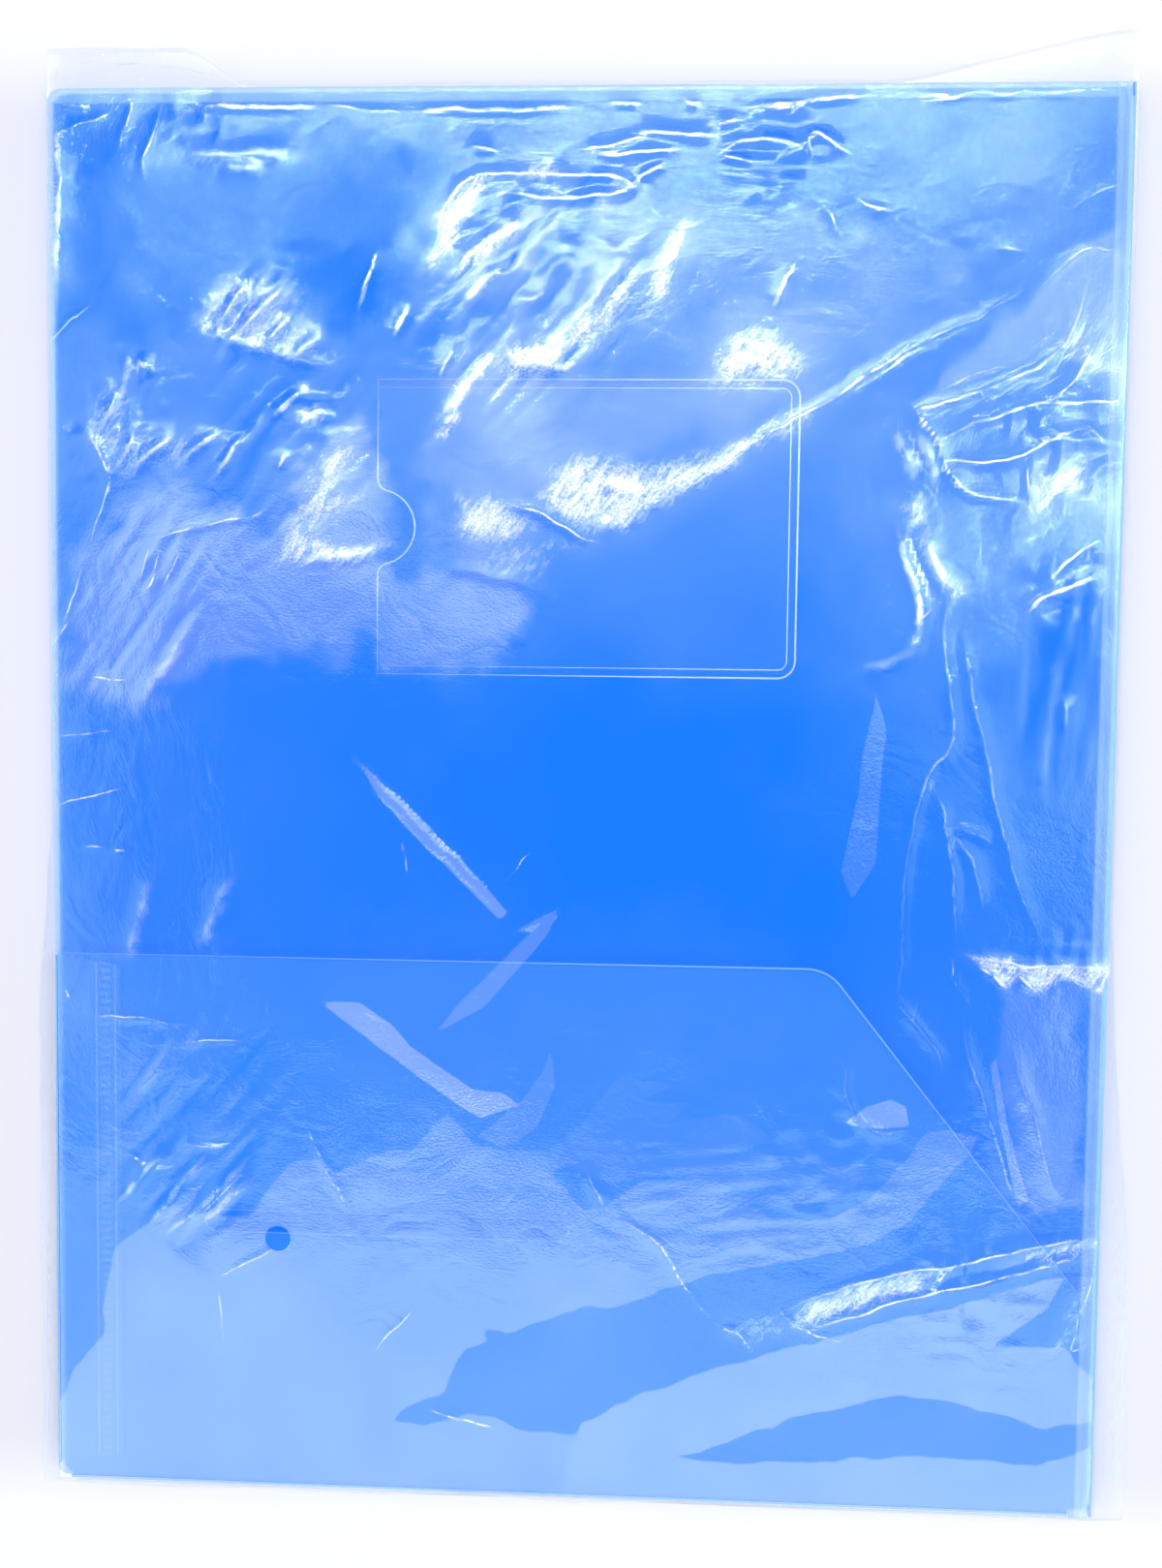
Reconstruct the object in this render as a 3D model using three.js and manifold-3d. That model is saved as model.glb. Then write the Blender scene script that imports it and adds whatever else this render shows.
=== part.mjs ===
import * as THREE from 'three';
import Module from 'manifold-3d';
import { mergeVertices } from 'three/addons/utils/BufferGeometryUtils.js';

// Two flap folder, closed, lying on its back cover inside its clear bag.
// Millimetres. X runs from the open edge to the spine, Y from the foot to the head, Z up the stack.

// The folder, one creased sheet of blue polypropylene
const folderWidth = 240; // open edge to the outer face of the spine
const folderHeight = 320; // foot to head
const sheet = 0.45; // thickness of the sheet
const layerGap = 0.15; // air between two layers that are folded together
const paperRoom = 1.2; // room for papers between the two flaps
const creaseGap = 0.3; // from the round edge of the spine to a cover
const seamGap = 0.2; // from a folded edge to the panel that it is folded from
const headRadius = 3; // cover corner at the open edge, head end
const footRadius = 2; // cover corner at the open edge, foot end
const scorePitch = 1.6; // between the score lines beside a crease
const scoreCount = 2;
const scoreWidth = 0.6;
const scoreDepth = 0.16;

// The flap inside each cover, folded up from the foot
const flapHeight = 125;
const flapTop = 177.7; // open edge of the folder to where the slanted end would meet the flap's top
const flapSlant = 51.6; // slanted end, degrees from the flap's top
const flapFillet = 10; // between the top and the slanted end
const flapInset = 1; // flap's end, in from the folder's open edge
const flapSpineGap = 2.5; // flap to the end of the cover beside the crease
const foldRelief = 2; // corner cut off at each end of a fold
const slotLength = 84.5; // long slot in the front flap, end to end
const slotWidth = 5.2;
const slotFromOpenEdge = 77.6; // to the middle of the slot
const slotFromFoot = 63.1;

// The weld tab, folded in from the open edge and welded to the back of the flap
const tabWidth = 15.5;
const tabFootGap = 1; // tab to the start of the cover's foot corner
const tabHeadInset = 0.6; // tab's end below the flap's top
const tabChamfer = 2; // length of the slanted ends, along the fold
const weldInset = 10.6; // open edge to the row of welds
const weldLength = 2.3;
const weldWidth = 0.6;
const weldPitch = 1.8;
const weldMargin = 0.6; // clear of the tab's ends

// The clear card pocket, welded on three sides to the outside of the front cover
const pocketWidth = 94;
const pocketHeight = 66;
const pocketFromOpenEdge = 75.1;
const pocketFromFoot = 190.2;
const pocketFilm = 0.2;
const pocketRoom = 0.3; // room for a card under the film
const pocketWeld = 2; // width of the welded border
const pocketRadius = 4;
const notchRadius = 8.4; // thumb notch in the open side
const notchFillet = 2.5;

// The clear bag: two films joined down both sides and along the foot, open at the head
const bagFilm = 0.2;
const bagSeam = 1.2;
const bagClear = 0.3; // film to folder, above and below
const bagEdgeClear = 0.5; // from the folder's edge to where the film starts down
const bagOpenMargin = 5.5; // bag beyond the folder's open edge
const bagSpineMargin = 8.5;
const bagFootMargin = 4;
const bagHeadMargin = 8;
const bagMouth = 1.8; // films apart at the mouth
const rampSteps = 5; // facets where the film comes down to a seam
const ventDiameter = 5.9;
const ventFromOpenEdge = 52.6; // from the folder's open edge
const ventFromFoot = 59.7;

const leafDepth = 3 * sheet + 2 * layerGap; // cover, tab and flap
const stackDepth = 2 * leafDepth + paperRoom;
const tabLevel = sheet + layerGap; // outer face of the tab, in from the outer face of the cover
const flapLevel = 2 * tabLevel;
const panelEnd = folderWidth - sheet - creaseGap;
const flapEnd = panelEnd - flapSpineGap;
const flapFold = leafDepth / 2; // outer radius of the fold between cover and flap
const tabFold = (tabLevel + sheet) / 2; // outer radius of the fold between cover and tab
const tabFoot = flapFold + seamGap + footRadius + tabFootGap;
const tabHead = flapHeight - tabHeadInset;

const bagWidth = folderWidth + bagOpenMargin + bagSpineMargin;
const bagHeight = folderHeight + bagFootMargin + bagHeadMargin;
const openEdge = bagOpenMargin - bagWidth / 2;
const foot = bagFootMargin - bagHeight / 2;
const backFace = bagFilm + bagClear;
const frontFace = backFace + stackDepth;

const arcSegments = 10;
const wasm = await Module();
wasm.setup();

function solid(geometry) {
  const bare = geometry.clone();
  bare.deleteAttribute('normal');
  bare.deleteAttribute('uv');
  const merged = mergeVertices(bare, 1e-5);
  return new wasm.Manifold(new wasm.Mesh({
    numProp: 3,
    vertProperties: Float32Array.from(merged.attributes.position.array),
    triVerts: Uint32Array.from(merged.index.array),
  }));
}

function surface(manifold) {
  const mesh = manifold.getMesh();
  const geometry = new THREE.BufferGeometry();
  geometry.setAttribute('position', new THREE.BufferAttribute(mesh.vertProperties, mesh.numProp));
  geometry.setIndex(new THREE.BufferAttribute(mesh.triVerts, 1));
  geometry.computeVertexNormals();
  return geometry;
}

// Flat sheet with the given outline, from one height to another.
function plate(outline, bottom, top) {
  const settings = { depth: top - bottom, bevelEnabled: false, curveSegments: arcSegments };
  return new THREE.ExtrudeGeometry(outline, settings).translate(0, 0, bottom);
}

// Section drawn in Y and Z, carried along X.
function alongX(section, from, to) {
  const settings = { depth: to - from, bevelEnabled: false, curveSegments: arcSegments };
  const axes = new THREE.Matrix4().makeBasis(
    new THREE.Vector3(0, 1, 0),
    new THREE.Vector3(0, 0, 1),
    new THREE.Vector3(1, 0, 0),
  );
  return new THREE.ExtrudeGeometry(section, settings).applyMatrix4(axes).translate(from, 0, 0);
}

// Section drawn in X and Z, carried along Y.
function alongY(section, from, to) {
  const settings = { depth: to - from, bevelEnabled: false, curveSegments: arcSegments };
  const axes = new THREE.Matrix4().makeBasis(
    new THREE.Vector3(1, 0, 0),
    new THREE.Vector3(0, 0, 1),
    new THREE.Vector3(0, -1, 0),
  );
  return new THREE.ExtrudeGeometry(section, settings).applyMatrix4(axes).translate(0, to, 0);
}

// Section of a folded edge: half a tube of the sheet, then a leg at the inner level.
function foldSection(depth, leg) {
  const outer = depth / 2;
  const section = new THREE.Shape();
  section.moveTo(outer, 0);
  section.absarc(outer, outer, outer, -Math.PI / 2, Math.PI / 2, true);
  section.lineTo(outer + leg, depth);
  section.lineTo(outer + leg, depth - sheet);
  section.lineTo(outer, depth - sheet);
  section.absarc(outer, outer, outer - sheet, Math.PI / 2, -Math.PI / 2, false);
  section.closePath();
  return section;
}

// Cover panel, outer face down: rounded at the open edge, cut back where the tab and the flap
// are folded from it, and scored beside the crease.
function coverPanel() {
  const foldFoot = flapFold + seamGap;
  const foldSide = tabFold + seamGap;
  const foldEnd = flapEnd - foldRelief + seamGap;
  const outline = new THREE.Shape();
  outline.moveTo(footRadius, foldFoot);
  outline.lineTo(foldEnd, foldFoot);
  outline.lineTo(foldEnd, 0);
  outline.lineTo(panelEnd, 0);
  outline.lineTo(panelEnd, folderHeight);
  outline.lineTo(headRadius, folderHeight);
  outline.absarc(headRadius, folderHeight - headRadius, headRadius, Math.PI / 2, Math.PI, false);
  outline.lineTo(0, tabHead + seamGap);
  outline.lineTo(foldSide, tabHead + seamGap);
  outline.lineTo(foldSide, tabFoot - seamGap);
  outline.lineTo(0, tabFoot - seamGap);
  outline.lineTo(0, foldFoot + footRadius);
  outline.absarc(footRadius, foldFoot + footRadius, footRadius, Math.PI, Math.PI * 1.5, false);
  let panel = solid(plate(outline, 0, sheet));
  for (let line = 1; line <= scoreCount; line += 1) {
    const middle = panelEnd - line * scorePitch;
    const groove = new THREE.Shape();
    groove.moveTo(middle - scoreWidth, -scoreDepth);
    groove.lineTo(middle + scoreWidth, -scoreDepth);
    groove.lineTo(middle, scoreDepth);
    groove.closePath();
    panel = panel.subtract(solid(alongY(groove, -sheet, folderHeight + sheet)));
  }
  return surface(panel);
}

// Weld tab: a folded edge along the open side, a strip with slanted ends, and a row of welds
// that reach across to the flap.
function weldTab() {
  const outline = new THREE.Shape();
  outline.moveTo(tabFold, tabFoot);
  outline.lineTo(tabWidth, tabFoot + tabChamfer);
  outline.lineTo(tabWidth, tabHead - tabChamfer);
  outline.lineTo(tabFold, tabHead);
  outline.closePath();
  let tab = solid(plate(outline, tabLevel, tabLevel + sheet));
  tab = tab.add(solid(alongY(foldSection(2 * tabFold, layerGap), tabFoot, tabHead)));
  const first = tabFoot + tabChamfer + weldMargin;
  const last = tabHead - tabChamfer - weldMargin;
  const count = Math.floor((last - first) / weldPitch) + 1;
  const start = (first + last - (count - 1) * weldPitch) / 2;
  const buried = sheet / 2;
  for (let number = 0; number < count; number += 1) {
    const weld = new THREE.BoxGeometry(weldLength, weldWidth, layerGap + buried);
    weld.translate(
      weldInset + weldLength / 2,
      start + number * weldPitch,
      flapLevel - (layerGap + buried) / 2,
    );
    tab = tab.add(solid(weld));
  }
  return surface(tab);
}

// Flap: a straight top that turns through a fillet into the slanted end, folded up along the foot.
function flap(slotted) {
  const slant = THREE.MathUtils.degToRad(flapSlant);
  const tangent = flapFillet * Math.tan(slant / 2);
  const endHeight = flapHeight - (flapEnd - flapTop) * Math.tan(slant);
  const outline = new THREE.Shape();
  outline.moveTo(flapInset + foldRelief, flapFold);
  outline.lineTo(flapEnd - foldRelief, flapFold);
  outline.lineTo(flapEnd, flapFold + foldRelief);
  outline.lineTo(flapEnd, endHeight);
  outline.lineTo(flapTop + tangent * Math.cos(slant), flapHeight - tangent * Math.sin(slant));
  outline.absarc(
    flapTop - tangent, flapHeight - flapFillet, flapFillet, Math.PI / 2 - slant, Math.PI / 2, false,
  );
  outline.lineTo(flapInset, flapHeight);
  outline.lineTo(flapInset, flapFold + foldRelief);
  outline.closePath();
  if (slotted) {
    const radius = slotWidth / 2;
    const reach = slotLength / 2 - radius;
    const slot = new THREE.Path();
    slot.absarc(slotFromOpenEdge + reach, slotFromFoot, radius, -Math.PI / 2, Math.PI / 2, false);
    slot.absarc(slotFromOpenEdge - reach, slotFromFoot, radius, Math.PI / 2, Math.PI * 1.5, false);
    slot.closePath();
    outline.holes.push(slot);
  }
  const sheetPart = solid(plate(outline, flapLevel, flapLevel + sheet));
  const fold = alongX(
    foldSection(leafDepth, foldRelief), flapInset + foldRelief, flapEnd - foldRelief,
  );
  return surface(sheetPart.add(solid(fold)));
}

// Spine: a narrow strip with a rounded edge on each crease line.
function spineStrip() {
  const radius = sheet / 2;
  const section = new THREE.Shape();
  section.absarc(folderWidth - radius, radius, radius, Math.PI, Math.PI * 2, false);
  section.absarc(folderWidth - radius, stackDepth - radius, radius, 0, Math.PI, false);
  section.closePath();
  return surface(solid(alongY(section, 0, folderHeight)));
}

// Card pocket: film with rounded corners at the spine side and a thumb notch in the open side,
// standing on a welded border round the other three sides.
function cardPocket() {
  const middle = pocketHeight / 2;
  const shoulder = Math.sqrt((notchRadius + notchFillet) ** 2 - notchFillet ** 2);
  const turn = Math.atan2(shoulder, notchFillet);
  const far = pocketWidth - pocketRadius;
  const outline = new THREE.Shape();
  outline.moveTo(0, 0);
  outline.lineTo(far, 0);
  outline.absarc(far, pocketRadius, pocketRadius, -Math.PI / 2, 0, false);
  outline.absarc(far, pocketHeight - pocketRadius, pocketRadius, 0, Math.PI / 2, false);
  outline.lineTo(0, pocketHeight);
  outline.absarc(notchFillet, middle + shoulder, notchFillet, Math.PI, Math.PI + turn, false);
  outline.absarc(0, middle, notchRadius, turn, -turn, true);
  outline.absarc(notchFillet, middle - shoulder, notchFillet, Math.PI - turn, Math.PI, false);
  outline.closePath();
  const innerRadius = pocketRadius - pocketWeld;
  const cavity = new THREE.Shape();
  cavity.moveTo(-pocketWeld, pocketWeld);
  cavity.lineTo(far, pocketWeld);
  cavity.absarc(far, pocketWeld + innerRadius, innerRadius, -Math.PI / 2, 0, false);
  cavity.absarc(far, pocketHeight - pocketRadius, innerRadius, 0, Math.PI / 2, false);
  cavity.lineTo(-pocketWeld, pocketHeight - pocketWeld);
  cavity.closePath();
  const block = solid(plate(outline, 0, pocketRoom + pocketFilm));
  return surface(block.subtract(solid(plate(cavity, -pocketRoom, pocketRoom))));
}

// Places across the bag: its edge, the seam, the steps of the ramp and the shoulder.
function rampPlaces(edge, seam, shoulder) {
  const places = [edge];
  for (let step = 0; step <= rampSteps; step += 1) {
    places.push(THREE.MathUtils.lerp(seam, shoulder, step / rampSteps));
  }
  return places;
}

// Front film: level over the folder, brought down to the back film in a soft S at both sides and
// the foot, and drawn together at the mouth. It keeps its thickness square to its slope.
function frontFilm() {
  const side = bagWidth / 2;
  const end = bagHeight / 2;
  const shoulders = {
    left: openEdge - bagEdgeClear,
    right: openEdge + folderWidth + bagEdgeClear,
    foot: foot - bagEdgeClear,
    head: foot + folderHeight + bagEdgeClear,
  };
  const level = frontFace + pocketRoom + pocketFilm + bagClear - bagFilm;
  const soft = (from, to, at) => THREE.MathUtils.smoothstep((at - from) / (to - from), 0, 1);
  const lift = (x, y) => {
    const sides = soft(-side + bagSeam, shoulders.left, x) * soft(side - bagSeam, shoulders.right, x);
    const ends = bagMouth + (level - bagMouth) * soft(end, shoulders.head, y);
    return bagFilm + sides * ends * soft(-end + bagSeam, shoulders.foot, y);
  };
  const across = [
    ...rampPlaces(-side, -side + bagSeam, shoulders.left),
    ...rampPlaces(side, side - bagSeam, shoulders.right).reverse(),
  ];
  const along = [
    ...rampPlaces(-end, -end + bagSeam, shoulders.foot),
    ...rampPlaces(end, end, shoulders.head).slice(1).reverse(),
  ];
  const inner = [];
  const outer = [];
  const probe = 1e-3;
  for (const y of along) {
    for (const x of across) {
      const height = lift(x, y);
      const slope = new THREE.Vector3(
        (lift(x - probe, y) - lift(x + probe, y)) / (2 * probe),
        (lift(x, y - probe) - lift(x, y + probe)) / (2 * probe),
        1,
      ).normalize();
      inner.push(x, y, height);
      outer.push(x + slope.x * bagFilm, y + slope.y * bagFilm, height + slope.z * bagFilm);
    }
  }
  const columns = across.length;
  const rows = along.length;
  const under = columns * rows;
  const faces = [];
  const quad = (a, b, c, d) => faces.push(a, b, c, a, c, d);
  for (let row = 0; row < rows - 1; row += 1) {
    for (let column = 0; column < columns - 1; column += 1) {
      const at = row * columns + column;
      quad(at, at + 1, at + columns + 1, at + columns);
      quad(under + at, under + at + columns, under + at + columns + 1, under + at + 1);
    }
  }
  const rim = [];
  for (let column = 0; column < columns - 1; column += 1) rim.push(column);
  for (let row = 0; row < rows - 1; row += 1) rim.push(row * columns + columns - 1);
  for (let column = columns - 1; column > 0; column -= 1) rim.push((rows - 1) * columns + column);
  for (let row = rows - 1; row > 0; row -= 1) rim.push(row * columns);
  rim.forEach((from, index) => {
    const to = rim[(index + 1) % rim.length];
    quad(under + from, under + to, to, from);
  });
  const shell = new THREE.BufferGeometry();
  shell.setAttribute('position', new THREE.Float32BufferAttribute([...outer, ...inner], 3));
  shell.setIndex(faces);
  const vent = new THREE.CylinderGeometry(ventDiameter / 2, ventDiameter / 2, 2 * level, 24);
  vent.rotateX(Math.PI / 2);
  vent.translate(openEdge + ventFromOpenEdge, foot + ventFromFoot, level);
  return surface(solid(shell).subtract(solid(vent)));
}

function material(colour, roughness, opacity) {
  return new THREE.MeshStandardMaterial({
    color: colour, roughness, metalness: 0, opacity, transparent: opacity < 1,
  });
}

const bluePlastic = () => material(0x1f7cfa, 0.35, 0.85);
const clearFilm = () => material(0xf2f6ff, 0.08, 0.2);

const folder = new THREE.Group();

function place(name, geometry, finish, x, y, z) {
  const mesh = new THREE.Mesh(geometry, finish);
  mesh.name = name;
  mesh.position.set(x, y, z);
  folder.add(mesh);
}

// The same panel seen in a mirror, for the cover on the other side of the stack.
function mirrored(geometry) {
  const copy = geometry.clone().scale(1, 1, -1);
  const index = Array.from(copy.index.array);
  for (let corner = 0; corner < index.length; corner += 3) {
    [index[corner + 1], index[corner + 2]] = [index[corner + 2], index[corner + 1]];
  }
  copy.setIndex(index);
  copy.computeVertexNormals();
  return copy;
}

const cover = coverPanel();
const tab = weldTab();
place('back_cover', cover, bluePlastic(), openEdge, foot, backFace);
place('back_tab', tab, bluePlastic(), openEdge, foot, backFace);
place('back_flap', flap(false), bluePlastic(), openEdge, foot, backFace);
place('spine', spineStrip(), bluePlastic(), openEdge, foot, backFace);
place('front_cover', mirrored(cover), bluePlastic(), openEdge, foot, frontFace);
place('front_tab', mirrored(tab), bluePlastic(), openEdge, foot, frontFace);
place('front_flap', mirrored(flap(true)), bluePlastic(), openEdge, foot, frontFace);
place('card_pocket', cardPocket(), clearFilm(), openEdge + pocketFromOpenEdge, foot + pocketFromFoot, frontFace);

const backFilm = new THREE.BoxGeometry(bagWidth, bagHeight, bagFilm);
place('bag_back', backFilm, clearFilm(), 0, 0, bagFilm / 2);
place('bag_front', frontFilm(), clearFilm(), 0, 0, 0);

export default folder;
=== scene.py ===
from math import pi, radians

import bpy
import numpy as np
from mathutils import Euler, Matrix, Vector


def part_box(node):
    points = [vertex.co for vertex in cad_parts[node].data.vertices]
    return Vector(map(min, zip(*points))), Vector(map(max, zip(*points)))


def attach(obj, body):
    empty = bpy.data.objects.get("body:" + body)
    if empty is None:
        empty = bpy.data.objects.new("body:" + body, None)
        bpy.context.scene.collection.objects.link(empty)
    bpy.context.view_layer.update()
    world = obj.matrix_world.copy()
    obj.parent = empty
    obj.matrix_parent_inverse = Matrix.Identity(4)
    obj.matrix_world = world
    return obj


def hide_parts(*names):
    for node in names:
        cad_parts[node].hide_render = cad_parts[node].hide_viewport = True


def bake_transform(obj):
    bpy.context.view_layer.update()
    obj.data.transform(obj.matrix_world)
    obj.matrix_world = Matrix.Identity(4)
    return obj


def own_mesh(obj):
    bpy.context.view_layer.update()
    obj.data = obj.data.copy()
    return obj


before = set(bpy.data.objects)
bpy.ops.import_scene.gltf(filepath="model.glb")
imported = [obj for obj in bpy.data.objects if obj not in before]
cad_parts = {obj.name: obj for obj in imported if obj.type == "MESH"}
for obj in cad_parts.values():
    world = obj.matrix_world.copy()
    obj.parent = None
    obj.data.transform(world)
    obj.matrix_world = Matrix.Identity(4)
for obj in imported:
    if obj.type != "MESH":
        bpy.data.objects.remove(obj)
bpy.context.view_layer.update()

MM = 0.001

# The camera hangs 0.42 m over the closed folder and looks almost straight down,
# a little from the head and from the spine side, so the foot is drawn narrower than the head.
picture_size = np.array([1200.0, 1619.0])
camera_place = Vector((0.0249, 0.0336, 0.4189))
camera_turn = Euler((radians(-4.04), radians(3.49), radians(0.67)))
camera_data = bpy.data.cameras.new("camera")
camera_data.sensor_fit = "VERTICAL"
camera_data.sensor_height = 24.0
camera_data.lens = 28.2
camera = bpy.data.objects.new("camera", camera_data)
camera.location = camera_place
camera.rotation_euler = camera_turn
bpy.context.scene.collection.objects.link(camera)
bpy.context.scene.camera = camera
bpy.context.scene.view_settings.view_transform = "Standard"
clear_faces = 20
bpy.context.scene.cycles.transparent_max_bounces = clear_faces


def on_level(pixels, level):
    """Points (x, y) in metres where the camera's rays through these picture pixels meet the flat z = level.

    A ray starts at the camera and runs (px - centre, centre - py, -focal length) in the camera's axes."""
    focal = camera_data.lens / camera_data.sensor_height * picture_size[1]
    offset = np.asarray(pixels, float) - picture_size / 2
    rays = np.stack([offset[:, 0], -offset[:, 1], np.full(len(offset), -focal)], axis=1)
    rays = rays @ np.array(camera_turn.to_matrix()).T
    start = np.array(camera_place)
    reach = (level - start[2]) / rays[:, 2]
    return (start + rays * reach[:, None])[:, :2]


# The stage is a pale table top under soft boxes, in a studio with a dim ceiling and pale walls. The boxes
# stand around the camera and leave it in a dark gap, which is why the middle of the cover looks deepest.
def add_node(tree, kind, inputs=(), **settings):
    """One shader node: settings are its properties, inputs the values or the sockets of its sockets."""
    node = tree.nodes.new("ShaderNode" + kind)
    for name, value in settings.items():
        setattr(node, name, value)
    for name, value in dict(inputs).items():
        if isinstance(value, bpy.types.NodeSocket):
            tree.links.new(value, node.inputs[name])
        else:
            node.inputs[name].default_value = value
    return node


def compute(tree, operation, *inputs, **settings):
    """What a Math node makes of these numbers and sockets."""
    return add_node(tree, "Math", enumerate(inputs), operation=operation, **settings).outputs[0]


def ramp(tree, value, low, high, start=0.0, end=1.0, kind="LINEAR"):
    """A number that goes from start to end while value goes from low to high, and stays there beyond."""
    span = {"Value": value, "From Min": low, "From Max": high, "To Min": start, "To Max": end}
    return add_node(tree, "MapRange", span, interpolation_type=kind).outputs[0]


def fade(tree, value, low, high, start=0.0, end=1.0):
    """A ramp that starts and ends softly."""
    return ramp(tree, value, low, high, start, end, "SMOOTHSTEP")


def tint_between(tree, share, first, second):
    """The first colour where share is 0 and the second where it is 1; each is a socket or three numbers."""
    first, second = ((*tint, 1) if isinstance(tint, tuple) else tint for tint in (first, second))
    return add_node(tree, "MixRGB", {0: share, 1: first, 2: second}).outputs[0]


def noise(tree, place, scale, detail, distortion=0.0):
    """Smooth random mask around 0.5, scale patches to a metre."""
    inputs = {"Vector": place, "Scale": scale, "Detail": detail, "Distortion": distortion}
    return add_node(tree, "TexNoise", inputs).outputs["Fac"]


def new_material(name):
    """An empty node material, its tree, and the place on the object that its patterns follow."""
    material = bpy.data.materials.new(name)
    material.use_nodes = True
    tree = material.node_tree
    tree.nodes.clear()
    return material, tree, add_node(tree, "TexCoord").outputs["Object"]


def finish_material(tree, shader):
    """Shows this shader on the surface."""
    output = tree.nodes.new("ShaderNodeOutputMaterial")
    tree.links.new(shader.outputs[0], output.inputs["Surface"])


def mesh_piece(name, points, faces):
    """A new mesh object at the origin, from points in metres and faces as rows of point numbers."""
    mesh = bpy.data.meshes.new(name)
    mesh.from_pydata(points, [], faces)
    mesh.shade_smooth()
    piece = bpy.data.objects.new(name, mesh)
    bpy.context.scene.collection.objects.link(piece)
    return piece


table_half = 3.0
table_drop = 0.4 * MM
table_corners = ((-1, -1), (1, -1), (1, 1), (-1, 1))
floor = mesh_piece(
    "table_top", [(x * table_half, y * table_half, -table_drop) for x, y in table_corners], [(0, 1, 2, 3)]
)
floor_material, tree, place = new_material("white_board")
# Painted shade: the table is greyer in a band across its middle, as long as the folder, paler beyond.
off_middle = compute(tree, "ABSOLUTE", add_node(tree, "SeparateXYZ", {0: place}).outputs["Y"])
paler = fade(tree, off_middle, 0.15, 0.175, -0.1, 0.75)
paler = compute(tree, "MULTIPLY_ADD", noise(tree, place, 2.5, 3.0), 0.3, paler)
board_tint = tint_between(tree, paler, (0.77, 0.79, 0.86), (0.95, 0.96, 0.99))
finish_material(tree, add_node(tree, "BsdfPrincipled", {"Base Color": board_tint, "Roughness": 0.6}))
floor.data.materials.append(floor_material)

# The studio is seen at full strength in the picture and in reflections, and lights the folder more weakly.
pale_walls = (0.96, 0.965, 1.0)
dim_ceiling = (0.02, 0.03, 0.05)
studio_light = 0.34
world = bpy.data.worlds.new("studio")
world.use_nodes = True
bpy.context.scene.world = world
tree = world.node_tree
tree.nodes.clear()
direction = add_node(tree, "TexCoord").outputs["Generated"]
upward = add_node(tree, "SeparateXYZ", {0: direction}).outputs["Z"]
studio_tint = tint_between(tree, fade(tree, upward, 0.3, 0.92), pale_walls, dim_ceiling)
rays = add_node(tree, "LightPath").outputs
seen = compute(tree, "MAXIMUM", rays["Is Camera Ray"], rays["Is Glossy Ray"])
seen = compute(tree, "MAXIMUM", seen, rays["Is Transmission Ray"])
strength = ramp(tree, seen, 0.0, 1.0, studio_light, 1.0)
studio = add_node(tree, "Background", {"Color": studio_tint, "Strength": strength})
world_output = tree.nodes.new("ShaderNodeOutputWorld")
tree.links.new(studio.outputs[0], world_output.inputs["Surface"])


def soft_box(name, place, width, depth, brightness):
    """A rectangular lamp of that brightness per area, which faces the middle of the cover."""
    lamp = bpy.data.lights.new(name, "AREA")
    lamp.shape = "RECTANGLE"
    lamp.size = width
    lamp.size_y = depth
    lamp.energy = brightness * width * depth * pi
    box = bpy.data.objects.new(name, lamp)
    box.location = place
    box.rotation_euler = Vector(place).to_track_quat("Z", "Y").to_euler()
    bpy.context.scene.collection.objects.link(box)


soft_box("head_box", (0.1, 0.27, 0.9), 1.06, 0.62, 1.35)
soft_box("foot_box", (-0.05, -0.58, 0.9), 1.1, 0.46, 2.2)
soft_box("left_box", (-0.78, 0.0, 0.85), 0.7, 0.8, 1.5)
soft_box("right_box", (0.66, 0.0, 0.85), 0.7, 0.8, 1.4)
soft_box("head_strip", (-0.05, 0.4, 1.0), 0.7, 0.03, 30.0)
soft_box("side_strip", (0.45, 0.2, 0.85), 0.03, 0.5, 26.0)

# The back cover, with its weld tab and the flap folded up from its foot. It is one die-cut sheet of blue
# polypropylene, 0.45 mm thick, satin from the embossing roll, and lets show a little of what lies behind it.
def sheet_finish_group():
    """Grain of the embossed sheet: a fine height, a slow cloudiness of the dye and a sparse scuffing."""
    group = bpy.data.node_groups.new("sheet_finish", "ShaderNodeTree")
    group.interface.new_socket("Place", in_out="INPUT", socket_type="NodeSocketVector")
    for name in ("Height", "Cloud", "Scuff"):
        group.interface.new_socket(name, in_out="OUTPUT", socket_type="NodeSocketFloat")
    place = group.nodes.new("NodeGroupInput").outputs["Place"]
    leave = group.nodes.new("NodeGroupOutput").inputs
    streaks = {"Vector": place, "Scale": (260.0, 40.0, 200.0), "Rotation": (0, 0, 0.7)}
    streak = noise(group, add_node(group, "Mapping", streaks).outputs[0], 1.0, 2.0)
    group.links.new(noise(group, place, 2600.0, 1.0), leave["Height"])
    group.links.new(noise(group, place, 14.0, 2.0), leave["Cloud"])
    group.links.new(ramp(group, streak, 0.62, 0.72), leave["Scuff"])
    return group


sheet_finish = sheet_finish_group()
head_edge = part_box("back_cover")[1][1]
foot_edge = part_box("back_cover")[0][1]
open_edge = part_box("back_cover")[0][0]
spine_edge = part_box("spine")[1][0]
weld_row = open_edge + 11.75 * MM
weld_half = 1.15 * MM
weld_pitch = 1.8 * MM
horn_lines = (open_edge + 9.6 * MM, open_edge + 14.0 * MM)
horn_line_half = 0.22 * MM
polypropylene_ior = 1.49
sheet_shade = 0.2


def shadow_share(tree, cover, share):
    """Alpha for a clear or milky sheet: cover as seen, and share of it for light on its way to what lies
    under, because such a sheet passes light on that it scatters forward."""
    shadow = add_node(tree, "LightPath").outputs["Is Shadow Ray"]
    return compute(tree, "MULTIPLY", cover, ramp(tree, shadow, 0.0, 1.0, 1.0, share))


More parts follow.
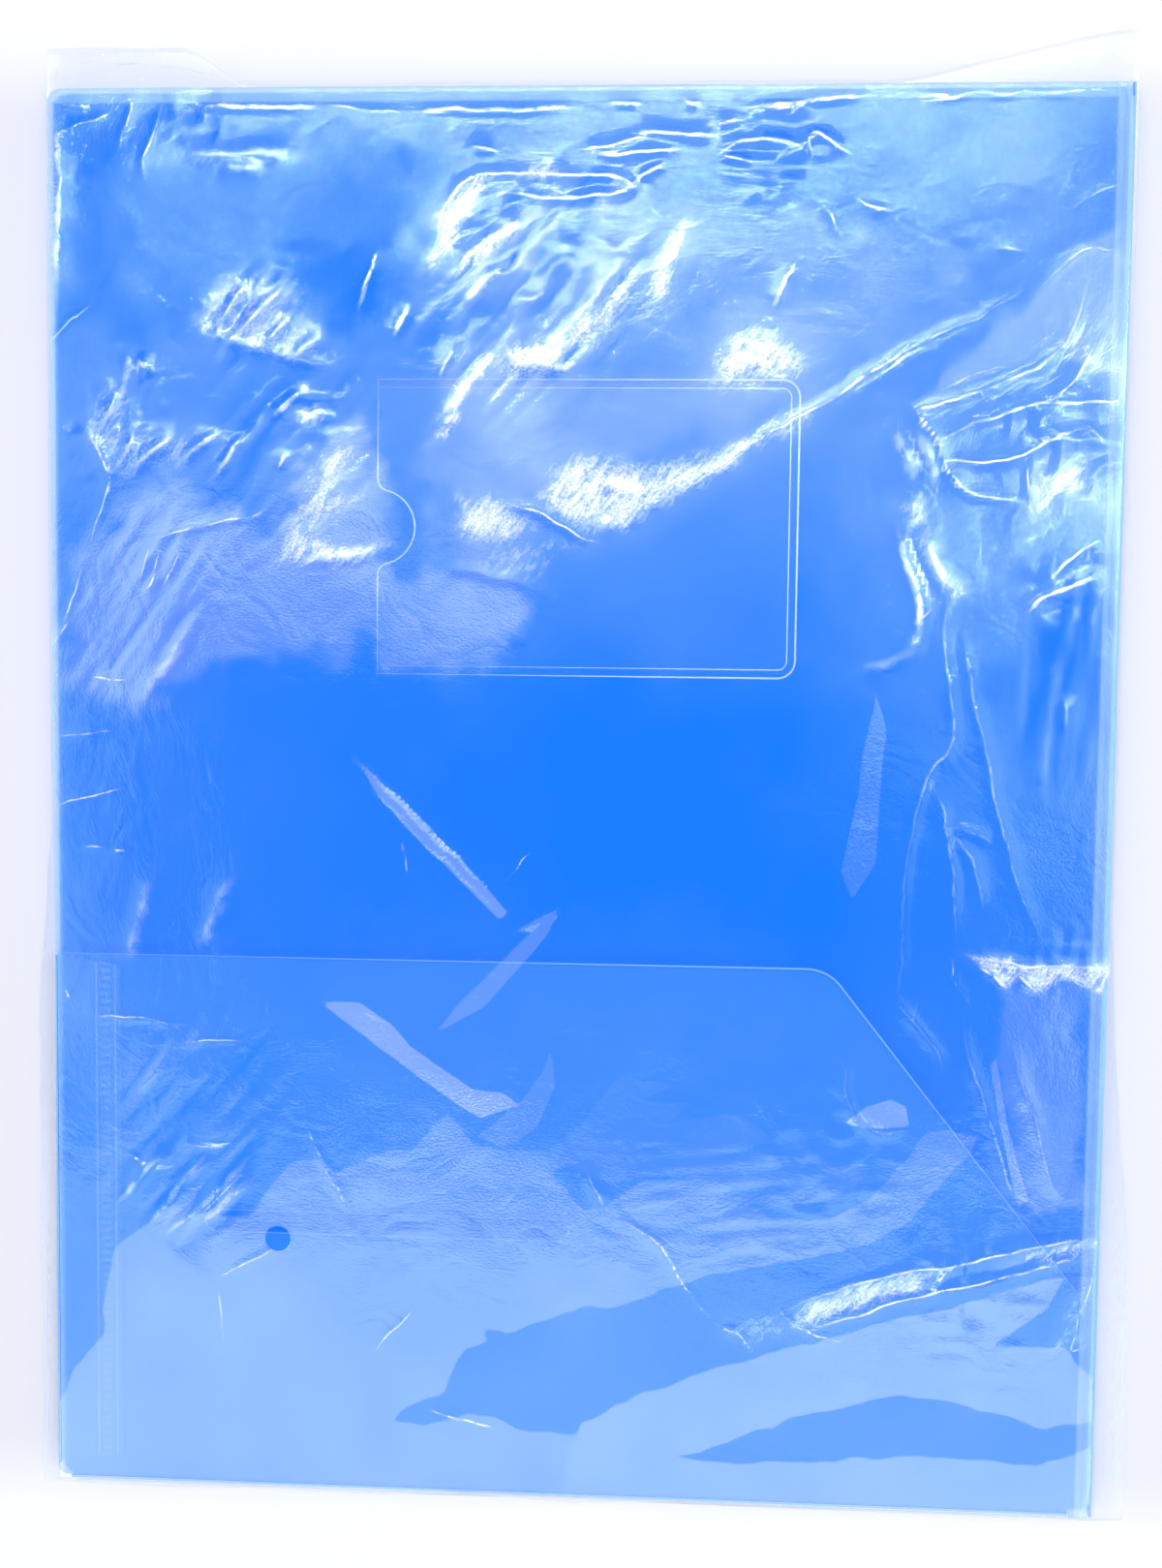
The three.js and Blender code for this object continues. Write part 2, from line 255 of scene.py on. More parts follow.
def outer_face(tree, outward):
    """Mask of the face that looks out of the closed folder (outward 1 up, -1 down), in the sheet's axes."""
    upward = add_node(tree, "SeparateXYZ", {0: add_node(tree, "TexCoord").outputs["Normal"]}).outputs["Z"]
    return compute(tree, "GREATER_THAN", compute(tree, "MULTIPLY", upward, outward), 0.5)


def outer_face_alpha(tree, outer, solid):
    """Alpha of a closed milky sheet: solid on its outer face, 1 on its inner face, and 0 on the far face
    that is met from inside, so that the sheet counts once."""
    backfacing = add_node(tree, "NewGeometry").outputs["Backfacing"]
    inside = compute(tree, "SUBTRACT", 1.0, backfacing)
    return compute(tree, "MULTIPLY", ramp(tree, outer, 0.0, 1.0, 1.0, solid), inside)


def weld_marks(tree, axes):
    """Mask of a row of ultrasonic welds near the open edge: short dashes across the row, between the two
    fine lines that the rim of the welding horn leaves."""
    in_row = compute(tree, "COMPARE", axes["X"], weld_row, weld_half)
    wave = compute(tree, "SINE", compute(tree, "MULTIPLY", axes["Y"], 2 * pi / weld_pitch))
    marks = compute(tree, "MULTIPLY", in_row, ramp(tree, wave, -0.2, 0.5, 0.0, 0.7))
    for place in horn_lines:
        line = compute(tree, "COMPARE", axes["X"], place, horn_line_half)
        marks = compute(tree, "MAXIMUM", marks, line)
    return marks


def polypropylene(name, colour, inner, painted_edge_light=0.0, roughness=0.36, solid=1.0, outward=1, welded=False):
    """Blue sheet. colour is the tint of its outer face, which more layers lie behind, inner that of its
    other face, painted_edge_light how strong the pale bands along the spine, the head and the open edge are,
    solid how little shows through the outer face, and welded whether it has a row of welds. The pale bands
    are painted light, for the light that comes through where fewer layers lie behind the sheet; on tabs and
    flaps colour is painted paler than the sheet's own blue, for light scattered between the sheets."""
    material, tree, place = new_material(name)
    finish = add_node(tree, "Group", {}, node_tree=sheet_finish)
    tree.links.new(place, finish.inputs["Place"])
    axes = add_node(tree, "SeparateXYZ", {0: place}).outputs
    outer = outer_face(tree, outward)
    # Painted light: pale bands along the spine, head and open edge, weaker on the inner face.
    spine_band = fade(tree, axes["X"], spine_edge - 4.2 * MM, spine_edge - 3.4 * MM)
    head_band = fade(tree, axes["Y"], head_edge - 3.6 * MM, head_edge - 2.8 * MM)
    open_band = fade(tree, axes["X"], open_edge + 2.6 * MM, open_edge + 0.3 * MM)
    band = compute(tree, "MAXIMUM", compute(tree, "MAXIMUM", spine_band, head_band), open_band)
    band_share = ramp(tree, outer, 0.0, 1.0, painted_edge_light * 0.4, painted_edge_light)
    cloud = ramp(tree, finish.outputs["Cloud"], 0.3, 0.75, 0.0, 0.015)
    edge_light_and_cloud = compute(tree, "MULTIPLY_ADD", band, band_share, cloud)
    tint = tint_between(tree, edge_light_and_cloud, tint_between(tree, outer, inner, colour), pale_blue)
    if welded:
        tint = tint_between(tree, weld_marks(tree, axes), tint, weld_white)
    height = finish.outputs["Height"]
    bump = add_node(tree, "Bump", {"Height": height, "Strength": 0.7, "Distance": 0.03 * MM})
    rough = ramp(tree, finish.outputs["Scuff"], 0.0, 1.0, roughness, roughness + 0.12)
    shader = add_node(tree, "BsdfPrincipled", {
        "Base Color": tint, "Roughness": rough, "IOR": polypropylene_ior, "Specular IOR Level": 0.08,
        "Normal": bump.outputs[0],
    })
    if solid < 1:
        cover = outer_face_alpha(tree, outer, solid)
        tree.links.new(shadow_share(tree, cover, sheet_shade), shader.inputs["Alpha"])
    finish_material(tree, shader)
    return material


def dress(node, material):
    """Gives a node of the frame this material."""
    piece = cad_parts[node]
    if not piece.material_slots:
        piece.data.materials.append(material)
    for slot in piece.material_slots:
        slot.material = material


deep_blue = (0.0, 0.215, 1.0)
# pale_blue: colour of the painted edge light, and of the dye's clouds.
pale_blue = (0.34, 0.60, 0.98)
weld_white = (0.62, 0.8, 1.0)
# flap_painted_light_blue and tab_painted_light_blue: painted paler, for light scattered between the stacked
# sheets.
flap_painted_light_blue = (0.15, 0.45, 1.0)
tab_painted_light_blue = (0.2, 0.5, 1.0)
inner_blue = (0.01, 0.25, 1.0)
flap_blue = (0.03, 0.29, 1.0)
dress("back_cover", polypropylene("back_cover_sheet", deep_blue, inner_blue, 0.8, solid=0.62, outward=-1))
dress("back_tab", polypropylene("back_tab_sheet", tab_painted_light_blue, flap_blue, outward=-1, welded=True))
dress("back_flap", polypropylene("back_flap_sheet", flap_painted_light_blue, flap_blue, outward=-1))

# The spine strip stands between the two crease lines. The creasing rule has thinned and stretched the sheet
# there, so it is paler, and a thin web of the same sheet runs on from it to each cover as the living hinge.
spine_blue = (0.08, 0.36, 0.97)
# The pale bands of painted edge light lie on the spine and on its webs as well.
dress("spine", polypropylene("spine_sheet", spine_blue, spine_blue, 0.9, 0.3))
web_sheet = polypropylene("web_sheet", spine_blue, spine_blue, 0.9, 0.3)
crease_x = spine_edge - 0.225 * MM
crease_levels = {"back": 0.725 * MM, "front": 4.775 * MM}
web_thickness = 0.2 * MM
web_reach = 0.5 * MM
web_overlap = 0.5 * MM
web_side = 3.0 * MM
web_columns, web_rows = 9, 60


def grid_faces(rows, columns, upward=True):
    """Quads between neighbouring grid points, facing up or down."""
    number = np.arange(rows * columns).reshape(rows, columns)
    quads = np.stack([number[:-1, :-1], number[:-1, 1:], number[1:, 1:], number[1:, :-1]], axis=-1)
    return (quads if upward else quads[..., ::-1]).reshape(-1, 4)


def hinge_web(name, level):
    """The thin web of one crease: a flat strip from the edge of the cover to the round edge of the spine.

    Its section is a line of points along X at the crease's level, carried along Y over the crease."""
    across = np.linspace(crease_x - web_reach - web_overlap, crease_x, web_columns)
    along = np.linspace(foot_edge + web_side, head_edge - web_side, web_rows)
    x, y = np.meshgrid(across, along)
    rows, columns = x.shape
    top = np.stack([x, y, np.full_like(x, level + web_thickness / 2)], axis=-1).reshape(-1, 3)
    under = top - (0, 0, web_thickness)
    points = np.concatenate([top, under])
    number = np.arange(rows * columns).reshape(rows, columns)
    upper = grid_faces(rows, columns)
    lower = grid_faces(rows, columns, upward=False) + rows * columns
    rim = np.concatenate([number[0, :], number[1:, -1], number[-1, -2::-1], number[-2:0:-1, 0]])
    follow = np.roll(rim, -1)
    wall = np.stack([rim + rows * columns, follow + rows * columns, follow, rim], axis=-1)
    web = mesh_piece(name, points.tolist(), np.concatenate([upper, lower, wall]).tolist())
    web.data.materials.append(web_sheet)
    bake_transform(web)


for side, level in crease_levels.items():
    hinge_web(side + "_hinge_web", level)

# The front cover is the other half of the same sheet, with its own tab and flap. The flap has the long slot,
# and the row of ultrasonic welds along the open edge joins it to the tab.
dress("front_cover", polypropylene("front_cover_sheet", deep_blue, inner_blue, 0.8, solid=0.62))
# The tab and flap are painted paler on their outer faces, for light scattered between the sheets.
dress("front_tab", polypropylene("front_tab_sheet", tab_painted_light_blue, flap_blue, welded=True))
dress("front_flap", polypropylene("front_flap_sheet", flap_painted_light_blue, flap_blue))


# The card pocket is one clear film welded to the outside of the front cover on three sides. Its fourth side,
# towards the open edge, has the thumb notch. A fine bead of pressed-out film runs round welds and notch.
def clear_film(name, cloudy, tint, roughness):
    """Clear film that mirrors what it doesn't let through, a little cloudy, with a fine grain."""
    material, tree, place = new_material(name)
    cloud = ramp(tree, noise(tree, place, 60.0, 2.0), 0.0, 1.0, cloudy * 0.6, cloudy * 1.4)
    grain = noise(tree, place, 900.0, 1.0)
    bump = add_node(tree, "Bump", {"Height": grain, "Strength": 0.4, "Distance": 0.03 * MM})
    shader = add_node(tree, "BsdfPrincipled", {
        "Base Color": (*tint, 1), "Metallic": 0.6, "Roughness": roughness,
        "Alpha": shadow_share(tree, cloud, 0.0), "Normal": bump.outputs[0],
    })
    finish_material(tree, shader)
    return material


def arc(centre, radius, start, end, steps=12):
    """Points on a circle round the centre, from one angle in degrees to another."""
    angle = np.radians(np.linspace(start, end, steps))
    return np.stack([centre[0] + radius * np.cos(angle), centre[1] + radius * np.sin(angle)], axis=1)


bead_sides = 8


def bead(name, route, level, width, height, material, closed=False):
    """A fine raised line on the front leaf along a flat route, in metres.

    Its section is an ellipse, width across the route and height upwards, carried along the route's points;
    the ends of an open line taper to a quarter and are capped."""
    route = np.asarray(route, float)
    ahead = np.roll(route, -1, axis=0) if closed else np.concatenate([route[1:], route[-1:]])
    behind = np.roll(route, 1, axis=0) if closed else np.concatenate([route[:1], route[:-1]])
    along = (ahead - behind) / np.linalg.norm(ahead - behind, axis=1)[:, None]
    across = np.stack([-along[:, 1], along[:, 0]], axis=1)
    angle = np.linspace(0, 2 * pi, bead_sides, endpoint=False)
    size = np.ones(len(route))
    if not closed:
        size[[0, -1]] = 0.25
    points = np.zeros((len(route), bead_sides, 3))
    reach = width / 2 * size[:, None] * np.cos(angle)
    points[..., :2] = route[:, None] + across[:, None] * reach[..., None]
    points[..., 2] = level + height / 2 * size[:, None] * np.sin(angle)
    number = np.arange(len(route) * bead_sides).reshape(-1, bead_sides)
    rings = number if closed else number[:-1]
    after = np.roll(number, -1, axis=0) if closed else number[1:]
    quads = np.stack([rings, after, np.roll(after, -1, axis=1), np.roll(rings, -1, axis=1)], axis=-1)
    faces = quads.reshape(-1, 4).tolist()
    if not closed:
        faces += [number[0].tolist(), number[-1, ::-1].tolist()]
    piece = mesh_piece(name, points.reshape(-1, 3).tolist(), faces)
    piece.data.materials.append(material)
    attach(piece, "front_leaf")


pocket_low, pocket_high = (np.array(corner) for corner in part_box("card_pocket"))
pocket_radius = 4 * MM
pocket_weld = 2 * MM
notch_radius = 8.4 * MM
notch_fillet = 2.5 * MM
bead_height = 0.12 * MM
dress("card_pocket", clear_film("pocket_film", 0.012, (0.7, 0.92, 1.0), 0.15))
pocket_line = clear_film("pocket_line", 0.26, (0.75, 0.92, 1.0), 0.3)


def pocket_round(inset):
    """The pocket's foot, spine and head sides as one line, from the notch side round to it again."""
    radius = max(pocket_radius - inset, 0.5 * MM)
    far = pocket_high[0] - inset - radius
    low, high = pocket_low[1] + inset, pocket_high[1] - inset
    return np.concatenate([
        [(pocket_low[0], low)], arc((far, low + radius), radius, -90, 0),
        arc((far, high - radius), radius, 0, 90), [(pocket_low[0], high)],
    ])


notch_middle = (pocket_low[1] + pocket_high[1]) / 2
notch_shoulder = np.sqrt((notch_radius + notch_fillet) ** 2 - notch_fillet ** 2)
notch_turn = np.degrees(np.arctan2(notch_shoulder, notch_fillet))
fillet_x = pocket_low[0] + notch_fillet
pocket_mouth = np.concatenate([
    [(pocket_low[0], pocket_high[1])],
    arc((fillet_x, notch_middle + notch_shoulder), notch_fillet, 180, 180 + notch_turn),
    arc((pocket_low[0], notch_middle), notch_radius, notch_turn, -notch_turn, 30),
    arc((fillet_x, notch_middle - notch_shoulder), notch_fillet, 180 - notch_turn, 180),
    [(pocket_low[0], pocket_low[1])],
])
for name, route, width in (
    ("pocket_outer_line", pocket_round(0.15 * MM), 0.5 * MM),
    ("pocket_weld_line", pocket_round(pocket_weld), 0.35 * MM),
    ("pocket_mouth_line", pocket_mouth, 0.45 * MM),
):
    bead(name, route, pocket_high[2], width, bead_height, pocket_line)

# The flap and the slot in it show through the cover by their cut edges: the die leaves a fine burr, whose
# paler blue is a painted highlight of the light it gathers. The flap's end is slanted, with a round corner
# to its top.
flap_low, flap_high = (np.array(corner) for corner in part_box("front_flap"))
flap_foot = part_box("front_cover")[0][1]
flap_slant = radians(51.6)
flap_corner = open_edge + 177.7 * MM
flap_fillet = 10 * MM
flap_inset = 1 * MM
slot_middle = np.array([open_edge + 77.6 * MM, flap_foot + 63.1 * MM])
slot_half = 42.25 * MM
slot_radius = 2.6 * MM
# Painted highlights: the paler blues of the burrs along the flap's edge and round the slot.
edge_highlight_blue = (0.2, 0.48, 1.0)
slot_highlight_blue = (0.1, 0.37, 1.0)
edge_highlight_sheet = polypropylene("cut_edge_highlight", edge_highlight_blue, edge_highlight_blue)
slot_highlight_sheet = polypropylene("slot_edge_highlight", slot_highlight_blue, slot_highlight_blue)
corner_reach = flap_fillet * np.tan(flap_slant / 2)
corner_middle = (flap_corner - corner_reach, flap_high[1] - flap_fillet)
slant_end = (flap_high[0], flap_high[1] - (flap_high[0] - flap_corner) * np.tan(flap_slant))
flap_edge = np.concatenate([
    [(flap_low[0] + flap_inset, flap_high[1])],
    arc(corner_middle, flap_fillet, 90, 90 - np.degrees(flap_slant)), [slant_end],
])
slot_edge = np.concatenate([
    arc(slot_middle + (slot_half - slot_radius, 0), slot_radius, -90, 90),
    arc(slot_middle - (slot_half - slot_radius, 0), slot_radius, 90, 270),
])
bead("flap_edge_line", flap_edge, flap_high[2], 0.45 * MM, 0.2 * MM, edge_highlight_sheet)
bead("slot_edge_line", slot_edge, flap_high[2], 0.25 * MM, 0.1 * MM, slot_highlight_sheet,
     closed=True)

# The back film of the bag is flat under the folder. Both films are cut to one outline, which keeps close to
# the pack along its upper half, stands out as a loose margin below, and dips at the middle of the mouth.
folder_left, folder_right = open_edge / MM, spine_edge / MM
folder_foot, folder_head = foot_edge / MM, head_edge / MM
film_ior = 1.5
film_masks = (
    "lift", "off_folder", "glare", "crease_side", "crease_near", "crease_white_and_glint",
    "sheen_side", "sheen_lift", "blade_side", "blade_glare",
)


def smooth(value, low, high):
    """0 below low, 1 above high, with a smooth step between."""
    t = np.clip((value - low) / (high - low), 0, 1)
    return t * t * (3 - 2 * t)


def lattice(x, y, step, seed):
    """Smooth random field from -1 to 1: values drawn at lattice points step apart, eased between them."""
    size, middle = 512, 200
    table = np.random.default_rng(seed).uniform(-1, 1, (size, size))
    u, v = x / step + middle, y / step + middle
    i, j = (np.floor(value).astype(int) % (size - 1) for value in (u, v))
    s, t = (smooth(value - np.floor(value), 0, 1) for value in (u, v))
    low = table[i, j] * (1 - s) + table[i + 1, j] * s
    high = table[i, j + 1] * (1 - s) + table[i + 1, j + 1] * s
    return low * (1 - t) + high * t


def left_margin(y):
    """How far the left seam stands off the folder at the height y, in millimetres."""
    return 1.6 + 3.7 * smooth(-y, -10, 60) + 0.25 * lattice(y, 0 * y, 9, 11) * smooth(-y, -60, 20)


def right_margin(y):
    """How far the right seam stands off the folder at the height y, in millimetres."""
    return 1.6 + 6.6 * smooth(-y, 20, 125) + 0.3 * lattice(y, 0 * y, 11, 12) * smooth(-y, -20, 60)


def head_margin(x):
    """How far the mouth of the bag stands off the folder's head, in millimetres."""
    return 1.2 + 8.0 * smooth(-x, 76, 92) + 11.0 * smooth(x, 60, 125) + 0.3 * lattice(x, 0 * x, 14, 13)


def foot_margin(x):
    """How far the foot seam stands off the folder's foot, in millimetres."""
    return 2.9 + 0.7 * lattice(x, 0 * x, 25, 14)


def bag_grid(inner_columns, inner_rows, margin_steps):
    """Points of a sheet with the bag's outline, as arrays x and y in millimetres, and how far each lies out
    in the side, the foot and the head margin, from 0 on the folder to 1 at the seam.

    Columns and rows are even over the folder, and each margin has margin_steps of its own."""
    out = np.linspace(1, 0, margin_steps, endpoint=False)

    def lines(low, high, count):
        """Places from low to high with a margin at both ends, and how far out each lies at either end."""
        inside = np.linspace(0, 1, count)
        places = np.concatenate([0 * out + low, low + (high - low) * inside, 0 * out + high])
        before = np.concatenate([out, 0 * inside, 0 * out])
        return places, before, before[::-1]

    columns, left, right = lines(folder_left, folder_right, inner_columns)
    rows, foot, head = lines(folder_foot, folder_head, inner_rows)
    base_x, base_y = np.meshgrid(columns, rows)
    foot, head = foot[:, None], head[:, None]
    x = base_x - left * left_margin(base_y) + right * right_margin(base_y)
    y = base_y - foot * foot_margin(base_x) + head * head_margin(base_x)
    return x, y, *(np.broadcast_to(mask, x.shape) for mask in (np.maximum(left, right), foot, head))


def bag_film_material(name):
    """Clear bag film, which follows the masks that its points carry.

    lift says where it is pale: partly the haze of film that stands off what is under it, partly a painted
    reflection of the room's light; off_folder where it lies beside the folder, and glare where a painted
    glare whitens it. sheen_side and blade_side say how deep a point lies in a clear-edged area, in
    millimetres, negative outside: a sheen is a painted reflection that adds sheen_lift to the lift, a blade
    takes a painted highlight of blade_glare. A crease is a white line, partly the film's stress whitening
    and partly a painted glint: crease_side is the distance across it in half widths, signed, so that it
    runs evenly through 0 between points, and crease_near the same unsigned, which tells a crease from a
    place where the nearest crease changes. Its white breaks up into sparkles towards its edge."""
    material, tree, place = new_material(name)
    mask = {key: add_node(tree, "Attribute", {}, attribute_name=key).outputs["Fac"] for key in film_masks}
    sheen = fade(tree, mask["sheen_side"], -0.2, 0.5)
    lift = compute(tree, "MULTIPLY_ADD", sheen, mask["sheen_lift"], mask["lift"])
    blade = compute(tree, "MULTIPLY", ramp(tree, mask["blade_side"], -0.1, 0.25), mask["blade_glare"])
    grain = noise(tree, place, 1900.0, 1.0)
    folded = compute(tree, "SUBTRACT", noise(tree, place, 75.0, 2.0, 1.2), 0.5)
    heights = compute(tree, "MULTIPLY_ADD", grain, 0.2, compute(tree, "ABSOLUTE", folded))
    bump = add_node(tree, "Bump", {"Height": heights, "Strength": 0.5, "Distance": 0.3 * MM})

    # stress whitening and painted glint along the creases, broken up by the grain
    guard = compute(tree, "SUBTRACT", mask["crease_near"], 1.0)
    across = compute(tree, "MAXIMUM", compute(tree, "ABSOLUTE", mask["crease_side"]), guard)
    line = fade(tree, across, 1.25, 0.0)
    speckle = ramp(tree, grain, 0.3, 0.7, 0.0, -0.8)
    patchy = ramp(tree, noise(tree, place, 320.0, 1.0), 0.3, 0.65, 0.35, 1.25)
    amount = compute(tree, "MULTIPLY", line, patchy)
    broken = ramp(tree, compute(tree, "MULTIPLY_ADD", amount, 1.5, speckle), 0.15, 0.75, 0.0, 0.7)
    white = compute(tree, "MULTIPLY", compute(tree, "MULTIPLY_ADD", amount, 0.3, broken), line)
    white = compute(tree, "MULTIPLY", white, mask["crease_white_and_glint"])

    # painted glare drawn out into fibres, and the painted highlight on the folded blades
    threads = {"Vector": place, "Rotation": (0, 0, radians(52)), "Scale": (6.5 * MM, 1.8 * MM, 3 * MM)}
    threads = add_node(tree, "Mapping", threads, vector_type="TEXTURE").outputs[0]
    fibres = ramp(tree, noise(tree, threads, 1.0, 4.0, 1.6), 0.3, 0.72, -1.1, 0.25)
    grainy = compute(tree, "MULTIPLY_ADD", mask["glare"], 1.35, fibres)
    grainy = ramp(tree, compute(tree, "MULTIPLY_ADD", speckle, 0.9, grainy), -0.4, 1.0, 0.05, 1.0)
    white = compute(tree, "MAXIMUM", white, compute(tree, "MULTIPLY", grainy, mask["glare"]))
    white = compute(tree, "MAXIMUM", white, blade)

    # what the film covers: its own gloss, the white, and the haze and painted reflection of its lift
    gloss = add_node(tree, "Fresnel", {"IOR": film_ior}).outputs[0]
    clear = compute(tree, "MULTIPLY_ADD", gloss, ramp(tree, lift, 0.0, 0.15, 0.08, 0.35), white)
    cover = compute(tree, "MULTIPLY_ADD", lift, 0.15, clear, use_clamp=True)
    tint = tint_between(tree, ramp(tree, lift, 0.2, 1.1), (0.62, 0.95, 1.0), (0.77, 0.965, 1.0))
    tint = tint_between(tree, mask["off_folder"], tint, (0.74, 0.79, 0.87))
    tint = tint_between(tree, white, tint, (0.92, 0.985, 1.0))
    shader = add_node(tree, "BsdfPrincipled", {
        "Base Color": tint, "Metallic": ramp(tree, white, 0.0, 1.0, 0.62, 0.0),
        "Roughness": ramp(tree, lift, 0.0, 1.0, 0.08, 0.18),
        "Alpha": shadow_share(tree, cover, 0.0), "Normal": bump.outputs[0],
    })
    finish_material(tree, shader)
    return material


def film_piece(name, points, faces, masks):
    """One film of the bag, from points in metres, rows of point numbers and the masks of its points."""
    film = mesh_piece(name, points.tolist(), faces.tolist())
    for mask in film_masks:
        attribute = film.data.attributes.new(mask, "FLOAT", "POINT")
        attribute.data.foreach_set("value", masks[mask].astype(np.float32).ravel())
    film.data.materials.append(bag_film)
    return film


bag_film = bag_film_material("bag_film")
far_off = 4.0
film_low, seam_level = 0.08, 0.22
x, y, side, foot, head = bag_grid(90, 110, 4)
z = film_low + (seam_level - film_low) * np.maximum(side, foot)
margin = np.maximum(side, np.maximum(foot, head))
masks = dict.fromkeys(film_masks, 0 * x)
masks.update(dict.fromkeys(("crease_side", "crease_near"), 0 * x + far_off))
masks.update(dict.fromkeys(("sheen_side", "blade_side"), 0 * x - far_off))
masks["lift"] = 0.7 * margin + 0.7 * smooth(margin, 0.8, 1)
masks["off_folder"] = smooth(margin, 0, 0.2)
points = np.stack([x, y, z], axis=-1).reshape(-1, 3) * MM
back_film = film_piece("back_film", points, grid_faces(*x.shape, upward=False), masks)
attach(back_film, "bag")
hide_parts("bag_back")

